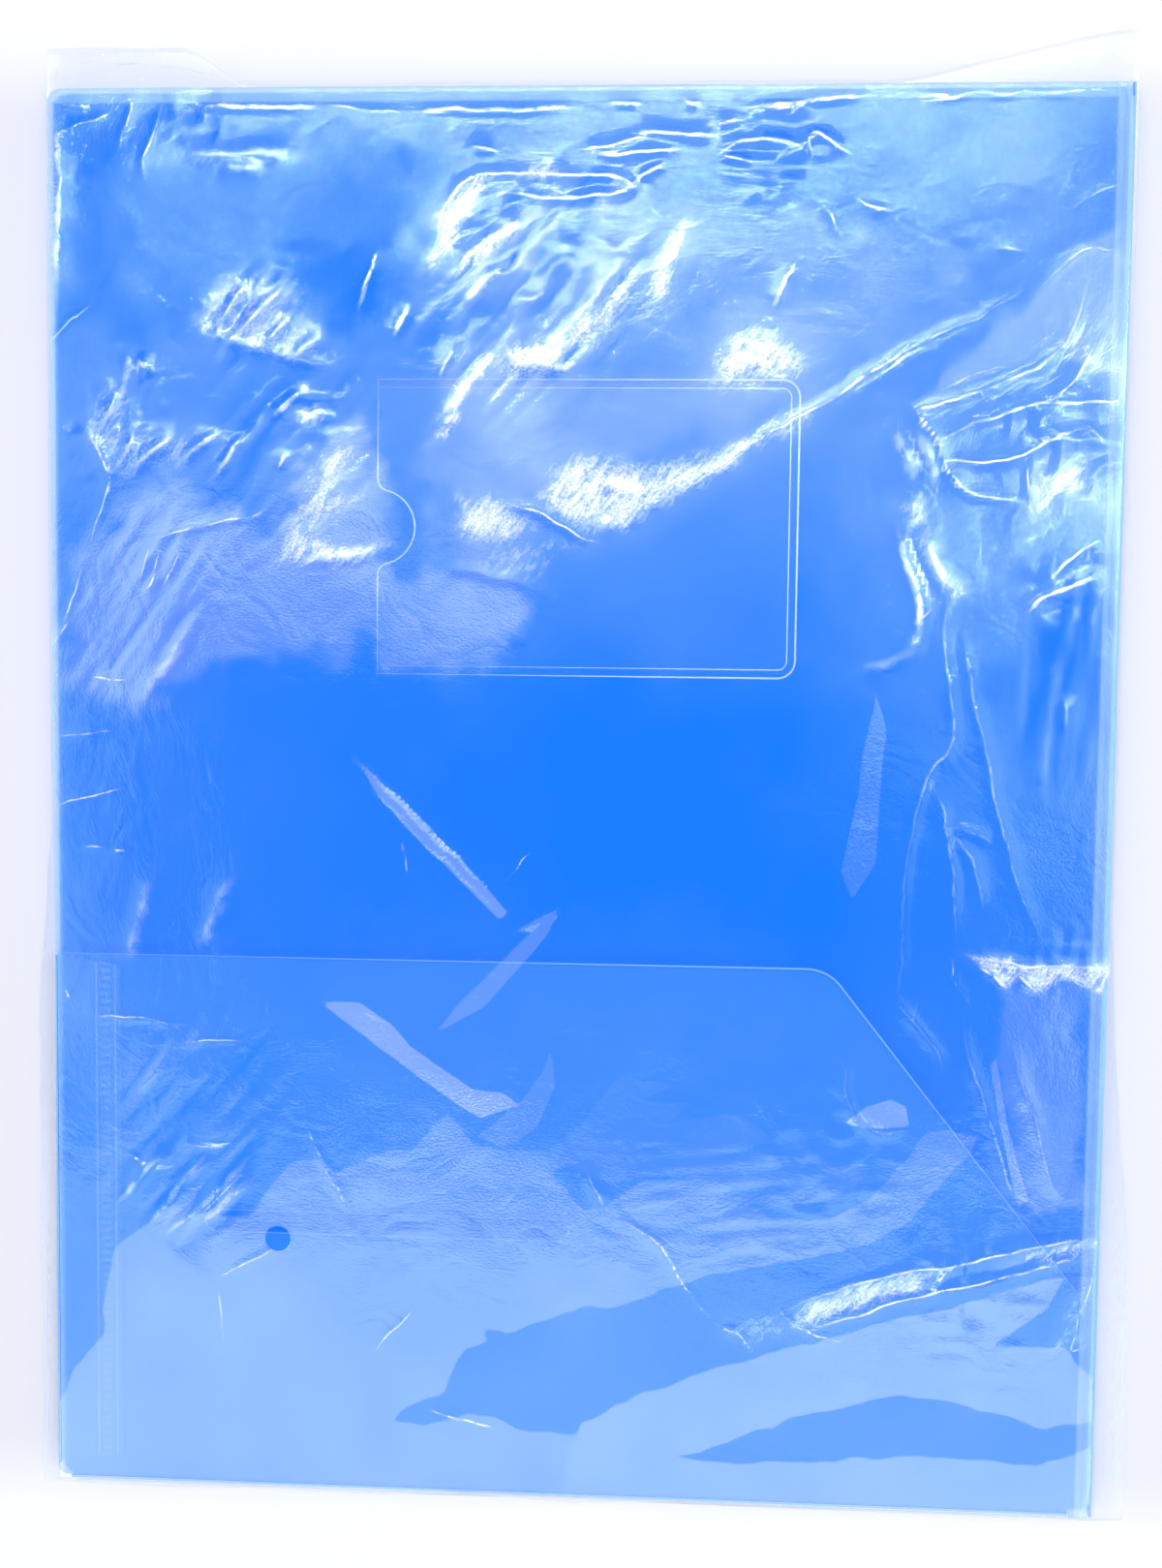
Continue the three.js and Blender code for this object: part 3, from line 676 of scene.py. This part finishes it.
# The front film of the bag lies tight over the cover and wraps its edges down to the seams. It was packed by
# hand, so it is full of folds, creases and puckers, and it clings to the cover in some places only.
x, y, side, foot, head = bag_grid(264, 340, 8)
film_level = 5.75
crease_kinds = {
    # kind: (height mm, half width of its shoulders mm, half width of its white line mm, whiteness: stress
    # whitening and painted glint)
    "hair": (0.12, 0.9, 0.30, 0.90),
    "crisp": (0.24, 1.6, 0.46, 1.00),
    "dim": (0.26, 2.0, 0.55, 0.32),
    "glint": (0.25, 1.5, 0.75, 1.00),
    "streak": (0.30, 2.6, 1.30, 0.85),
    "fan": (0.35, 1.9, 1.10, 0.45),
    "veil": (0.25, 3.0, 2.40, 0.30),
    "blade": (0.20, 1.5, 0.50, 0.00),
}
film_creases = {
    # place: (kind, routes in pixels of the picture)
    "head_edge": ("glint", [[(188, 107), (260, 112), (332, 109)], [(424, 116), (500, 113), (600, 112)],
        [(632, 105), (660, 106)], [(704, 104), (722, 111)], [(772, 110), (856, 102), (900, 99)], [(64, 108),
        (92, 110)]]),
    "head_edge_fine": ("hair", [[(948, 107), (1000, 98)], [(1048, 95), (1116, 97)], [(776, 120), (816, 110),
        (828, 116), (808, 121)], [(900, 99), (1040, 96), (1168, 94)], [(332, 109), (424, 116)]]),
    "head_corner": ("hair", [[(124, 92), (138, 108), (122, 152)], [(168, 104), (154, 152), (148, 168),
        (151, 190)], [(60, 140), (116, 116)]]),
    "head_shelf": ("veil", [[(180, 160), (276, 156), (310, 164)], [(224, 172), (276, 174)]]),
    "left_edge": ("streak", [[(52, 100), (62, 188), (58, 228), (60, 316)]]),
    "left_edge_fine": ("hair", [[(94, 314), (48, 356)], [(52, 564), (58, 576)], [(86, 588), (66, 644)],
        [(72, 644), (56, 664)], [(96, 700), (138, 702)], [(60, 760), (120, 754)], [(60, 831), (132, 813)],
        [(88, 875), (134, 879)]]),
    "upper_fan": ("fan", [[(256, 288), (224, 340)], [(286, 300), (240, 352)], [(300, 326), (268, 364)],
        [(332, 346), (300, 370)]]),
    "upper_sill": ("dim", [[(200, 340), (312, 372), (352, 380)]]),
    "upper_spindles": ("glint", [[(390, 264), (370, 316)], [(420, 320), (406, 348)]]),
    "loop": ("crisp", [[(442, 280), (454, 231), (469, 195), (488, 182), (515, 178), (552, 178), (600, 180),
        (637, 182), (658, 195), (649, 198), (612, 201), (582, 206), (552, 203), (515, 201), (491, 212)],
        [(658, 186), (688, 168)], [(488, 152), (512, 156)]]),
    "loop_streaks": ("streak", [[(550, 222), (515, 244), (485, 265), (463, 288)], [(506, 368), (479, 408),
        (451, 450)], [(520, 356), (532, 376), (568, 380), (600, 376)]]),
    "loop_veils": ("veil", [[(539, 265), (509, 286), (476, 314)], [(594, 247), (579, 259)]]),
    "loop_glints": ("glint", [[(468, 364), (456, 388)], [(818, 276), (800, 316)], [(298, 468), (288, 484)]]),
    "zigzag": ("crisp", [[(606, 157), (631, 149), (667, 143), (670, 139)], [(612, 160), (640, 161),
        (667, 157), (704, 154)], [(655, 134), (710, 138), (743, 140)], [(743, 160), (758, 146), (783, 142),
        (807, 143), (831, 157)], [(743, 160), (777, 168)], [(840, 164), (834, 140), (848, 138), (860, 150),
        (876, 160)], [(744, 130), (760, 126)]]),
    "head_scraps": ("hair", [[(844, 204), (872, 246)], [(884, 202), (896, 214), (924, 216)], [(1024, 254),
        (1054, 258)], [(1106, 214), (1136, 196), (1160, 190)]]),
    "left_scraps": ("streak", [[(320, 396), (280, 436)], [(138, 370), (160, 382)]]),
    "long_ridge": ("crisp", [[(1060, 293), (1037, 315), (1012, 327), (946, 357), (891, 388), (860, 412),
        (806, 439), (769, 467), (730, 490), (690, 516), (655, 540)]]),
    "right_knot": ("crisp", [[(1128, 278), (1110, 333), (1101, 363), (1073, 378), (1031, 400), (982, 415),
        (942, 421), (956, 440), (970, 454), (973, 473), (988, 500), (1012, 512), (1055, 515), (1067, 533)],
        [(970, 454), (994, 443), (1031, 430), (1073, 417), (1110, 415), (1154, 414)], [(1084, 416),
        (1120, 380), (1132, 352)], [(973, 473), (1012, 479), (1049, 473), (1058, 467), (1110, 445),
        (1119, 442)]]),
    "right_knot_fine": ("hair", [[(1070, 300), (1084, 284), (1120, 254), (1154, 260)], [(974, 404),
        (1020, 382), (1044, 380)], [(1094, 376), (1128, 354)], [(1068, 456), (1112, 444)], [(1058, 472),
        (1066, 532)], [(1122, 438), (1140, 456)], [(912, 384), (960, 356)]]),
    "right_bands": ("veil", [[(924, 444), (932, 464), (944, 496)], [(948, 444), (966, 504)], [(930, 520),
        (948, 524)], [(952, 540), (972, 600), (984, 618)]]),
    "left_zigzag": ("fan", [[(130, 363), (133, 381), (118, 424), (100, 445)], [(140, 451), (118, 486)],
        [(182, 448), (132, 488)], [(228, 448), (185, 474)], [(252, 448), (224, 492)]]),
    "left_tick": ("crisp", [[(91, 445), (103, 462), (115, 500)]]),
    "left_zigzag_fine": ("hair", [[(116, 484), (112, 500), (94, 560)], [(156, 556), (256, 534), (280, 524)],
        [(156, 564), (144, 600)], [(168, 568), (152, 616)], [(188, 564), (172, 604)]]),
    "pocket_crease": ("crisp", [[(512, 517), (552, 528), (582, 543), (618, 562)]]),
    "pocket_shade": ("blade", [[(457, 584), (520, 596), (558, 608)], [(312, 582), (360, 577), (404, 570)]]),
    "middle_left": ("veil", [[(200, 644), (172, 688), (140, 732)], [(240, 900), (228, 932), (208, 980)],
        [(160, 900), (144, 948), (136, 992)]]),
    "spindle": ("fan", [[(362, 780), (392, 812), (420, 844), (472, 892), (524, 944)]]),
    "spindle_edge": ("hair", [[(366, 778), (400, 812), (436, 846), (486, 896), (526, 942)], [(548, 880),
        (524, 908)], [(416, 864), (424, 900)]]),
    "hook": ("dim", [[(530, 960), (576, 940), (572, 952), (552, 980)]]),
    "side_streak": ("streak", [[(927, 543), (942, 600), (952, 649), (946, 667)]]),
    "side_veils": ("veil", [[(952, 649), (932, 684), (888, 692)]]),
    "side_folds": ("dim", [[(1008, 600), (984, 624), (974, 636), (974, 680), (984, 720), (986, 772),
        (956, 800), (948, 828), (936, 888), (932, 940), (928, 1040)], [(996, 646), (1000, 692), (1020, 780),
        (1030, 840), (1044, 900), (1080, 984)], [(960, 800), (980, 856), (988, 972)], [(980, 856),
        (1004, 860), (1024, 872)], [(984, 860), (1004, 888), (1016, 940)], [(1100, 720), (1098, 756)]]),
    "side_glints": ("glint", [[(1060, 636), (1080, 612), (1132, 596)]]),
    "side_glint_fine": ("hair", [[(1080, 600), (1136, 556)]]),
    "jagged": ("glint", [[(994, 984), (1020, 992), (1080, 1000), (1148, 996)], [(1010, 996), (1040, 1020)],
        [(1050, 1004), (1070, 1026)], [(1148, 996), (1130, 1026)]]),
    "jagged_fine": ("hair", [[(980, 988), (984, 1012), (1004, 1040)]]),
    "flap_hairs": ("hair", [[(100, 1050), (120, 1047), (196, 1060)], [(154, 1081), (200, 1076), (256, 1075)],
        [(188, 1183), (240, 1181)], [(128, 1190), (160, 1204), (180, 1205)], [(68, 1022), (71, 1030)],
        [(224, 1318), (272, 1296), (296, 1276)], [(228, 1324), (229, 1382)], [(388, 1392), (424, 1352)],
        [(314, 1154), (332, 1192), (344, 1224), (360, 1250)], [(446, 1456), (512, 1476)]]),
    "lower_fan": ("fan", [[(176, 1180), (120, 1244)], [(218, 1186), (156, 1260)], [(256, 1200), (172, 1276)],
        [(260, 1216), (204, 1264)]]),
    "lower_folds": ("dim", [[(928, 1020), (930, 1044), (952, 1064), (972, 1092), (972, 1112)], [(988, 1044),
        (1020, 1152), (1052, 1256)], [(1044, 1072), (1056, 1120), (1076, 1180), (1084, 1228), (1108, 1240)],
        [(868, 1076), (876, 1152), (896, 1170), (944, 1170)], [(606, 1210), (624, 1244)]]),
    "lower_curve": ("hair", [[(624, 1256), (664, 1268), (692, 1296), (704, 1324), (732, 1360)], [(978, 1310),
        (966, 1334)]]),
    "double_ridge": ("crisp", [[(816, 1352), (840, 1340), (888, 1324), (932, 1314), (980, 1308),
        (1048, 1292), (1152, 1272)], [(832, 1372), (880, 1360), (920, 1344), (968, 1334), (1020, 1322),
        (1084, 1308), (1138, 1288)]]),
    "margin_creases": ("dim", [[(52, 1150), (46, 1300), (42, 1440)], [(48, 1300), (50, 1400), (46, 1510)],
        [(1158, 1010), (1152, 1120)], [(1146, 1150), (1156, 1300), (1160, 1420)], [(1142, 1330),
        (1152, 1450), (1150, 1560)], [(1164, 1340), (1160, 1460)], [(70, 62), (150, 66), (240, 78)],
        [(60, 70), (58, 84)]]),
    "double_ridge_fine": ("hair", [[(973, 1308), (962, 1334)], [(804, 1350), (816, 1366), (832, 1374),
        (868, 1386)], [(740, 1366), (764, 1376), (778, 1394)], [(1132, 1296), (1116, 1360), (1100, 1400),
        (1128, 1384)]]),
}
film_patches = {
    # place: (haze and painted reflection it adds, softness of the edge mm, outline in pixels of the picture)
    "upper_fan": (0.5, 1.5, [(200, 330), (224, 288), (262, 286), (300, 300), (334, 346), (312, 370),
        (240, 354)]),
    "head_middle": (0.35, 8.0, [(450, 230), (620, 200), (760, 210), (900, 250), (1020, 310), (900, 370),
        (780, 410), (640, 400), (520, 390), (440, 330)]),
    "left_middle": (1.35, 4.0, [(290, 560), (330, 470), (370, 440), (400, 520), (395, 640), (352, 676),
        (248, 676), (140, 732), (70, 700), (90, 560), (170, 500)]),
    "pocket_low": (1.1, 3.0, [(400, 600), (520, 590), (545, 640), (500, 690), (396, 690)]),
    "side_panel": (-0.1, 3.0, [(1020, 600), (1140, 540), (1150, 640), (1100, 720), (1052, 788),
        (1010, 680)]),
    "side_strip": (-0.05, 1.5, [(1000, 640), (1030, 640), (1060, 800), (1090, 980), (930, 1040), (936, 888),
        (956, 800), (986, 772), (974, 680)]),
    "lower_strip": (0.7, 1.5, [(1034, 1020), (1110, 1020), (1115, 1240), (1062, 1256), (1034, 1120)]),
    "right_knot": (0.2, 2.0, [(944, 420), (1052, 388), (1096, 364), (1156, 300), (1160, 520), (1064, 532),
        (1000, 508), (970, 470)]),
    "head_left": (-0.42, 9.0, [(60, 130), (430, 130), (430, 300), (380, 340), (60, 340)]),
    "knot_head": (0.6, 2.0, [(1064, 300), (1110, 250), (1160, 236), (1160, 400), (1110, 372), (1076, 372),
        (1000, 404), (950, 416)]),
    "left_rim": (0.15, 2.0, [(48, 560), (104, 570), (92, 760), (70, 850), (48, 850)]),
    "head_row": (0.15, 4.0, [(200, 100), (860, 95), (860, 150), (200, 150)]),
    "beside_pocket": (0.22, 8.0, [(845, 400), (960, 420), (970, 640), (900, 710), (845, 670)]),
    "above_flap": (0.17, 9.0, [(370, 940), (780, 940), (790, 1100), (370, 1100)]),
    "pocket_high": (0.6, 5.0, [(500, 400), (800, 400), (760, 450), (640, 470), (560, 520), (500, 470)]),
    "pocket_left": (0.7, 7.0, [(480, 395), (560, 380), (575, 470), (520, 550), (550, 600), (520, 655),
        (430, 668), (462, 560), (440, 480)]),
}
film_sheens = {
    # clear-edged painted reflections: (how much they add, outline in pixels of the picture)
    "foot_left": (0.7, [(58, 1530), (62, 1440), (78, 1410), (104, 1380), (112, 1330), (118, 1290),
        (150, 1262), (190, 1230), (214, 1218), (192, 1252), (214, 1250), (252, 1196), (262, 1190),
        (226, 1252), (256, 1256), (300, 1200), (330, 1196), (352, 1208), (400, 1186), (424, 1188),
        (460, 1148), (488, 1180), (560, 1196), (600, 1248), (624, 1246), (660, 1220), (736, 1212),
        (800, 1262), (848, 1260), (900, 1236), (940, 1192), (960, 1164), (1014, 1174), (980, 1216),
        (944, 1256), (900, 1284), (800, 1304), (720, 1318), (672, 1336), (632, 1352), (600, 1348),
        (540, 1372), (500, 1376), (508, 1384), (480, 1394), (456, 1440), (412, 1456), (408, 1464),
        (440, 1470), (480, 1460), (512, 1464), (536, 1476), (592, 1482), (600, 1545)]),
    "foot_feathers": (0.3, [(640, 1110), (700, 1120), (664, 1136), (720, 1142), (690, 1156), (760, 1150),
        (800, 1176), (760, 1184), (840, 1196), (900, 1200), (880, 1230), (800, 1250), (700, 1212),
        (620, 1220), (560, 1190), (600, 1160)]),
    "long_band": (0.85, [(560, 1545), (600, 1468), (660, 1440), (740, 1412), (840, 1384), (920, 1364),
        (980, 1348), (1104, 1316), (1080, 1352), (1028, 1388), (1100, 1390), (1128, 1424), (1128, 1468),
        (1080, 1476), (1000, 1452), (932, 1440), (820, 1464), (760, 1486), (700, 1504), (772, 1510),
        (948, 1502), (1072, 1512), (1130, 1492), (1130, 1575)]),
    "pale_quad": (0.5, [(492, 1184), (588, 1188), (540, 1240)]),
    "jagged": (0.9, [(994, 982), (1048, 994), (1092, 1000), (1148, 992), (1136, 1028), (1096, 1012),
        (1068, 1028), (1058, 1008), (1040, 1022), (1012, 996)]),
}
film_blades = {
    # straight-edged folds with a painted highlight: (its strength, outline in pixels of the picture)
    "blade": (0.29, [(362, 776), (400, 812), (440, 850), (480, 890), (526, 942), (516, 950), (472, 906),
        (428, 862), (396, 828)]),
    "low_blade": (0.33, [(330, 1034), (372, 1034), (404, 1056), (424, 1080), (488, 1124), (520, 1128),
        (538, 1142), (496, 1154), (472, 1140), (400, 1088)]),
    "pale_hook": (0.12, [(536, 1140), (560, 1108), (570, 1080), (574, 1120), (554, 1166), (520, 1184),
        (492, 1172)]),
    "hook": (0.2, [(528, 962), (576, 938), (568, 962), (536, 1000), (500, 1040), (448, 1068), (470, 1040),
        (520, 990), (548, 962)]),
    "side_blade": (0.12, [(905, 716), (916, 756), (910, 800), (908, 830), (904, 894), (880, 930), (868, 900),
        (884, 830), (890, 780)]),
    "foot_blades": (0.2, [(1029, 1092), (1040, 1160), (1062, 1240), (1050, 1246), (1032, 1160),
        (1022, 1100)]),
    "small_blade": (0.3, [(870, 1160), (896, 1142), (920, 1134), (936, 1142), (940, 1164), (900, 1166)]),
}
film_glares = {
    # place: (strength of the painted glare, softness of the edge mm, outline in pixels of the picture)
    "loop_side": (0.8, 1.0, [(442, 280), (454, 231), (469, 195), (488, 182), (515, 178), (500, 195),
        (482, 225), (466, 253)]),
    "loop_top": (0.7, 1.5, [(530, 183), (545, 163), (570, 165), (579, 177), (552, 186)]),
    "loop_streak": (0.8, 1.0, [(463, 288), (480, 262), (515, 244), (550, 221), (525, 250), (490, 276)]),
    "middle": (0.85, 2.8, [(515, 374), (528, 356), (558, 353), (576, 347), (594, 332), (612, 323),
        (637, 298), (655, 280), (649, 311), (631, 335), (612, 359), (582, 365), (576, 377), (552, 384),
        (521, 384)]),
    "middle_spindle": (0.8, 1.2, [(667, 304), (670, 280), (685, 262), (700, 232), (710, 227), (707, 244),
        (700, 268), (691, 286), (682, 307)]),
    "burst": (0.9, 3.2, [(737, 390), (741, 371), (758, 350), (777, 341), (795, 347), (819, 356), (828, 368),
        (825, 383), (795, 390), (764, 396), (746, 400)]),
    "ridge": (0.95, 2.2, [(558, 517), (570, 487), (600, 472), (631, 478), (667, 487), (710, 478), (734, 469),
        (783, 447), (829, 427), (829, 432), (789, 456), (746, 484), (710, 505), (673, 526), (643, 548),
        (612, 545), (582, 529)]),
    "pocket_blob": (0.9, 2.6, [(473, 548), (473, 517), (503, 514), (521, 523), (546, 539), (521, 554),
        (491, 554)]),
    "pocket_wedge": (0.4, 1.5, [(485, 578), (546, 554), (612, 560), (570, 569), (558, 603), (491, 587)]),
    "notch_streak": (0.9, 1.2, [(448, 452), (475, 404), (506, 366), (512, 372), (484, 412), (458, 450)]),
    "left_blob": (0.75, 2.6, [(301, 540), (319, 497), (337, 467), (361, 445), (368, 467), (343, 509),
        (374, 509), (343, 534), (319, 546), (337, 558), (404, 564), (380, 580), (307, 588), (280, 584)]),
    "left_grain": (0.8, 1.8, [(306, 440), (314, 424), (330, 418), (332, 430), (318, 440)]),
    "upper_fan": (0.55, 2.0, [(203, 315), (246, 284), (264, 281), (282, 293), (301, 333), (325, 363),
        (282, 366), (240, 354), (209, 345)]),
    "left_cluster": (0.5, 2.2, [(92, 444), (112, 400), (132, 380), (134, 410), (124, 446), (182, 448),
        (228, 450), (186, 478), (132, 492), (115, 488)]),
    "right_fill": (0.7, 1.5, [(1067, 485), (1125, 476), (1110, 503), (1073, 527)]),
    "right_pale": (0.18, 2.0, [(980, 500), (1064, 520), (1120, 500), (1150, 520), (1090, 560), (1010, 600),
        (1000, 540)]),
    "side_bar": (0.55, 1.0, [(921, 518), (952, 518), (973, 582), (1000, 612), (982, 622), (952, 564)]),
    "side_swirl": (0.45, 1.6, [(1056, 640), (1070, 610), (1108, 590), (1128, 560), (1134, 570), (1120, 600),
        (1080, 616)]),
    "ridge_foot": (0.8, 1.5, [(818, 1366), (836, 1348), (880, 1328), (932, 1316), (968, 1314), (950, 1330),
        (900, 1344), (860, 1360), (832, 1372)]),
    "ridge_foot_end": (0.6, 1.2, [(1040, 1306), (1090, 1286), (1148, 1272), (1142, 1286), (1084, 1306)]),
    "ridge_start": (0.45, 1.5, [(752, 1372), (772, 1362), (800, 1358), (806, 1378), (780, 1384)]),
    "foot_corner": (0.35, 1.0, [(1088, 1396), (1104, 1344), (1118, 1320), (1128, 1330), (1116, 1380)]),
    "jagged": (0.8, 0.8, [(994, 982), (1048, 994), (1092, 1000), (1148, 992), (1136, 1026), (1096, 1010),
        (1068, 1026), (1058, 1006), (1040, 1020), (1012, 996)]),
    "shelf": (0.4, 1.2, [(140, 168), (180, 156), (276, 154), (316, 164), (270, 172), (224, 176),
        (180, 168)]),
}

sway_x = 0.5 * lattice(x, y, 5, 21) + 0.25 * lattice(x, y, 2.2, 22)
sway_y = 0.5 * lattice(x, y, 5, 23) + 0.25 * lattice(x, y, 2.2, 24)


def on_film(pixels):
    """The points of the front film at these pixels of the picture, in millimetres."""
    return on_level(pixels, film_level * MM) / MM


def route_field(points, warp):
    """Signed distance in millimetres from every grid point to a route of straight stretches, positive on its
    left, and how far along the route its nearest point lies, from 0 to 1. warp is how far sway bends it."""
    px, py = x + warp * sway_x, y + warp * sway_y
    steps = np.diff(points, axis=0)
    lengths = np.hypot(steps[:, 0], steps[:, 1])
    passed = np.concatenate([[0], np.cumsum(lengths)]) / lengths.sum()
    nearest = np.full(x.shape, 1e9)
    along = np.zeros(x.shape)
    for (ax, ay), (dx, dy), length, before, after in zip(points, steps, lengths, passed, passed[1:]):
        t = np.clip(((px - ax) * dx + (py - ay) * dy) / length ** 2, 0, 1)
        distance = np.hypot(px - ax - t * dx, py - ay - t * dy)
        signed = np.copysign(distance, dx * (py - ay) - dy * (px - ax))
        closer = distance < np.abs(nearest)
        nearest = np.where(closer, signed, nearest)
        along = np.where(closer, before + t * (after - before), along)
    return nearest, along


def depth_inside(outline, warp):
    """How deep every grid point lies inside an outline given in pixels, in millimetres, negative outside. A
    line from a point towards +X crosses the outline an odd number of times where the point lies inside."""
    points = on_film(outline)
    closed = np.concatenate([points, points[:1]])
    distance = np.abs(route_field(closed, warp)[0])
    px, py = x + warp * sway_x, y + warp * sway_y
    inside = np.zeros(x.shape, bool)
    for (ax, ay), (bx, by) in zip(closed[:-1], closed[1:]):
        if by != ay:
            inside ^= ((ay > py) != (by > py)) & (px < ax + (py - ay) * (bx - ax) / (by - ay))
    return np.where(inside, distance, -distance)


def deepest(areas, warp):
    """How deep every grid point lies in these areas, in millimetres, negative outside, and the strength of
    the area it is deepest in. The depth runs evenly through 0, so the material can draw a clear edge."""
    depth = np.full(x.shape, -far_off)
    strength = np.zeros(x.shape)
    for value, outline in areas.values():
        inside = depth_inside(outline, warp)
        strength = np.where(inside > depth, value, strength)
        depth = np.maximum(depth, inside)
    return np.minimum(depth, far_off), strength


def rounded(points):
    """The route with its corners cut off twice, each time at a quarter and three quarters of a stretch."""
    for _ in range(2):
        a, b = points[:-1], points[1:]
        middle = np.stack([a * 0.75 + b * 0.25, a * 0.25 + b * 0.75], axis=1).reshape(-1, 2)
        points = np.concatenate([points[:1], middle, points[-1:]])
    return points


def puckers(centre, size, angle, along, across, seed):
    """Fine parallel puckers inside a soft ellipse: a random field drawn out along one direction."""
    cx, cy = on_film([centre])[0]
    c, s = np.cos(radians(angle)), np.sin(radians(angle))
    u, v = (x - cx) * c + (y - cy) * s, (y - cy) * c - (x - cx) * s
    field = lattice(u / along, v / across, 1.0, seed)
    field = field + 0.5 * lattice(u / along * 2, v / across * 2, 1.0, seed + 1)
    return field * (1 - smooth(np.hypot(u / size[0], v / size[1]), 0.5, 1.0))


uneven = np.clip(0.75 + 0.5 * lattice(x, y, 6, 31), 0.2, 1)
ridges = np.zeros(x.shape)
nearest_side = np.full(x.shape, far_off)
nearest_white_and_glint = np.zeros(x.shape)
# The white of a crease is partly stress whitening and partly a painted glint.
for kind, routes in film_creases.values():
    height, shoulder, half_width, whiteness = crease_kinds[kind]
    for route in routes:
        across, along = route_field(rounded(on_film(route)), 1)
        taper = smooth(along, -0.05, 0.3) * smooth(1 - along, -0.05, 0.3)
        ridges = np.maximum(ridges, height * taper / (1 + (across / shoulder) ** 2) ** 2)
        across = np.clip(across / half_width, -far_off, far_off)
        closer = np.abs(across) < np.abs(nearest_side)
        nearest_side = np.where(closer, across, nearest_side)
        nearest_white_and_glint = np.where(closer, whiteness * taper * uneven, nearest_white_and_glint)

# The lift is haze and painted reflection, less in the clear middle, more in patches, round glares and
# puckers.
lift = 0.5 + 0.1 * smooth(-x, 70, 118) + 0.1 * lattice(x, y, 24, 64) + 0.06 * lattice(x, y, 9, 65)
clear_middle_places = (
    # how much less haze and painted reflection, pixel of the middle, half length and half width mm
    (0.33, (640, 800), (78, 60)), (0.17, (710, 820), (46, 38)),
)
for strength, middle, size in clear_middle_places:
    cx, cy = on_film([middle])[0]
    lift = lift - strength * np.exp(-(((x - cx) / size[0]) ** 4 + ((y - cy) / size[1]) ** 4))
for strength, softness, outline in film_patches.values():
    lift = lift + strength * smooth(depth_inside(outline, 1.5 + softness), -softness, softness)
# Glares are painted highlights, with a halo of painted reflection round each.
glare = np.zeros(x.shape)
for whiteness, softness, outline in film_glares.values():
    depth = depth_inside(outline, 2)
    glare = np.maximum(glare, whiteness * smooth(depth, -1.6 * softness, 1.2 * softness))
    lift = lift + 0.4 * whiteness * smooth(depth, -4 * softness, 0.5 * softness)
# Sheens are painted reflections and blades painted highlights, each with a clear edge.
sheen_side, sheen_lift = deepest(film_sheens, 1.2)
blade_side, blade_glare = deepest(film_blades, 0.3)

pucker_places = (
    # height mm, pixel of the middle, half length and half width mm, direction in degrees, along, across mm
    (0.10, (200, 1150), (34, 26), 52, 16, 2.2), (0.10, (150, 620), (34, 20), 55, 14, 2.4),
    (0.12, (560, 300), (40, 30), 50, 12, 2.0), (0.10, (300, 480), (30, 22), 50, 12, 2.2),
    (0.09, (1100, 700), (40, 14), 85, 18, 2.4), (0.05, (760, 1240), (40, 18), 8, 16, 2.2),
    (0.12, (262, 330), (16, 12), 58, 10, 1.9), (0.12, (215, 1225), (20, 14), 47, 10, 2.0),
)
pucker = np.zeros(x.shape)
for number, (height, *field) in enumerate(pucker_places):
    pucker = pucker + height * puckers(*field, 41 + 2 * number)
lift = np.clip(lift + 4.0 * pucker, 0.02, 1.9)
crumple_places = (
    # height mm, pixel of the middle, radius mm, size of the facets mm
    (0.22, (560, 260), 26, 6), (0.26, (784, 376), 8, 3), (0.22, (640, 515), 14, 4),
    (0.26, (120, 440), 16, 5), (0.22, (1100, 440), 22, 6), (0.16, (800, 150), 18, 4),
    (0.16, (320, 430), 12, 4), (0.16, (1100, 1000), 14, 4), (0.08, (860, 1200), 26, 6),
    (0.18, (1000, 1330), 24, 5), (0.14, (200, 110), 14, 4), (0.16, (1110, 620), 16, 5),
)
crumple = np.zeros(x.shape)
for number, (height, middle, radius, facet) in enumerate(crumple_places):
    cx, cy = on_film([middle])[0]
    inner = 1 - smooth(np.hypot(x - cx, y - cy) / radius, 0.3, 1.0)
    folds = 1 - 2 * np.abs(lattice(x + 2 * sway_x, y + 2 * sway_y, facet, 81 + number))
    crumple = crumple + height * folds * inner
# The film lies at film_level on the cover, stands off it by slack, ridges, puckers and crumples, and drops
# to the seams over the margins, by a little over half at the open mouth.
slack = 0.35 * lattice(x, y, 55, 61) + 0.18 * lattice(x, y, 22, 62) + 0.05 * lattice(x, y, 8, 63)
margin = np.maximum(side, np.maximum(foot, head))
lift = lift + (1.0 - lift) * smooth(margin, 0, 0.3) + 0.9 * smooth(margin, 0.8, 1)
drop = 1 - (1 - np.maximum(side, foot)) * (1 - 0.55 * head)
rise = np.maximum(film_level + 0.4 + slack + ridges + pucker + crumple, film_level - 0.05)
z = seam_level + (rise - seam_level) * (1 - drop)

# The vent hole: the faces inside its circle are left out, and the points of its rim are pulled onto it.
hole_place = np.array([folder_left + 52.6, folder_foot + 59.7])
hole_radius = 2.95
flat = np.stack([x.ravel(), y.ravel()], axis=-1)
radial = np.hypot(*(flat - hole_place).T)
faces = grid_faces(*x.shape)
kept = radial[faces].mean(axis=1) > hole_radius
rim = np.intersect1d(faces[kept], faces[~kept])
flat[rim] = hole_place + (flat[rim] - hole_place) * (hole_radius / radial[rim])[:, None]
used, faces = np.unique(faces[kept], return_inverse=True)
masks = {
    "lift": lift, "off_folder": smooth(margin, 0, 0.2), "glare": glare, "crease_side": nearest_side,
    "crease_near": np.abs(nearest_side), "crease_white_and_glint": nearest_white_and_glint, "sheen_side": sheen_side,
    "sheen_lift": sheen_lift, "blade_side": blade_side, "blade_glare": blade_glare,
}
masks = {name: mask.ravel()[used] for name, mask in masks.items()}
points = np.column_stack([flat, z.ravel()])[used] * MM
front_film = film_piece("front_film", points, faces.reshape(-1, 4), masks)
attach(front_film, "bag")
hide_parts("bag_front")
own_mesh(front_film)
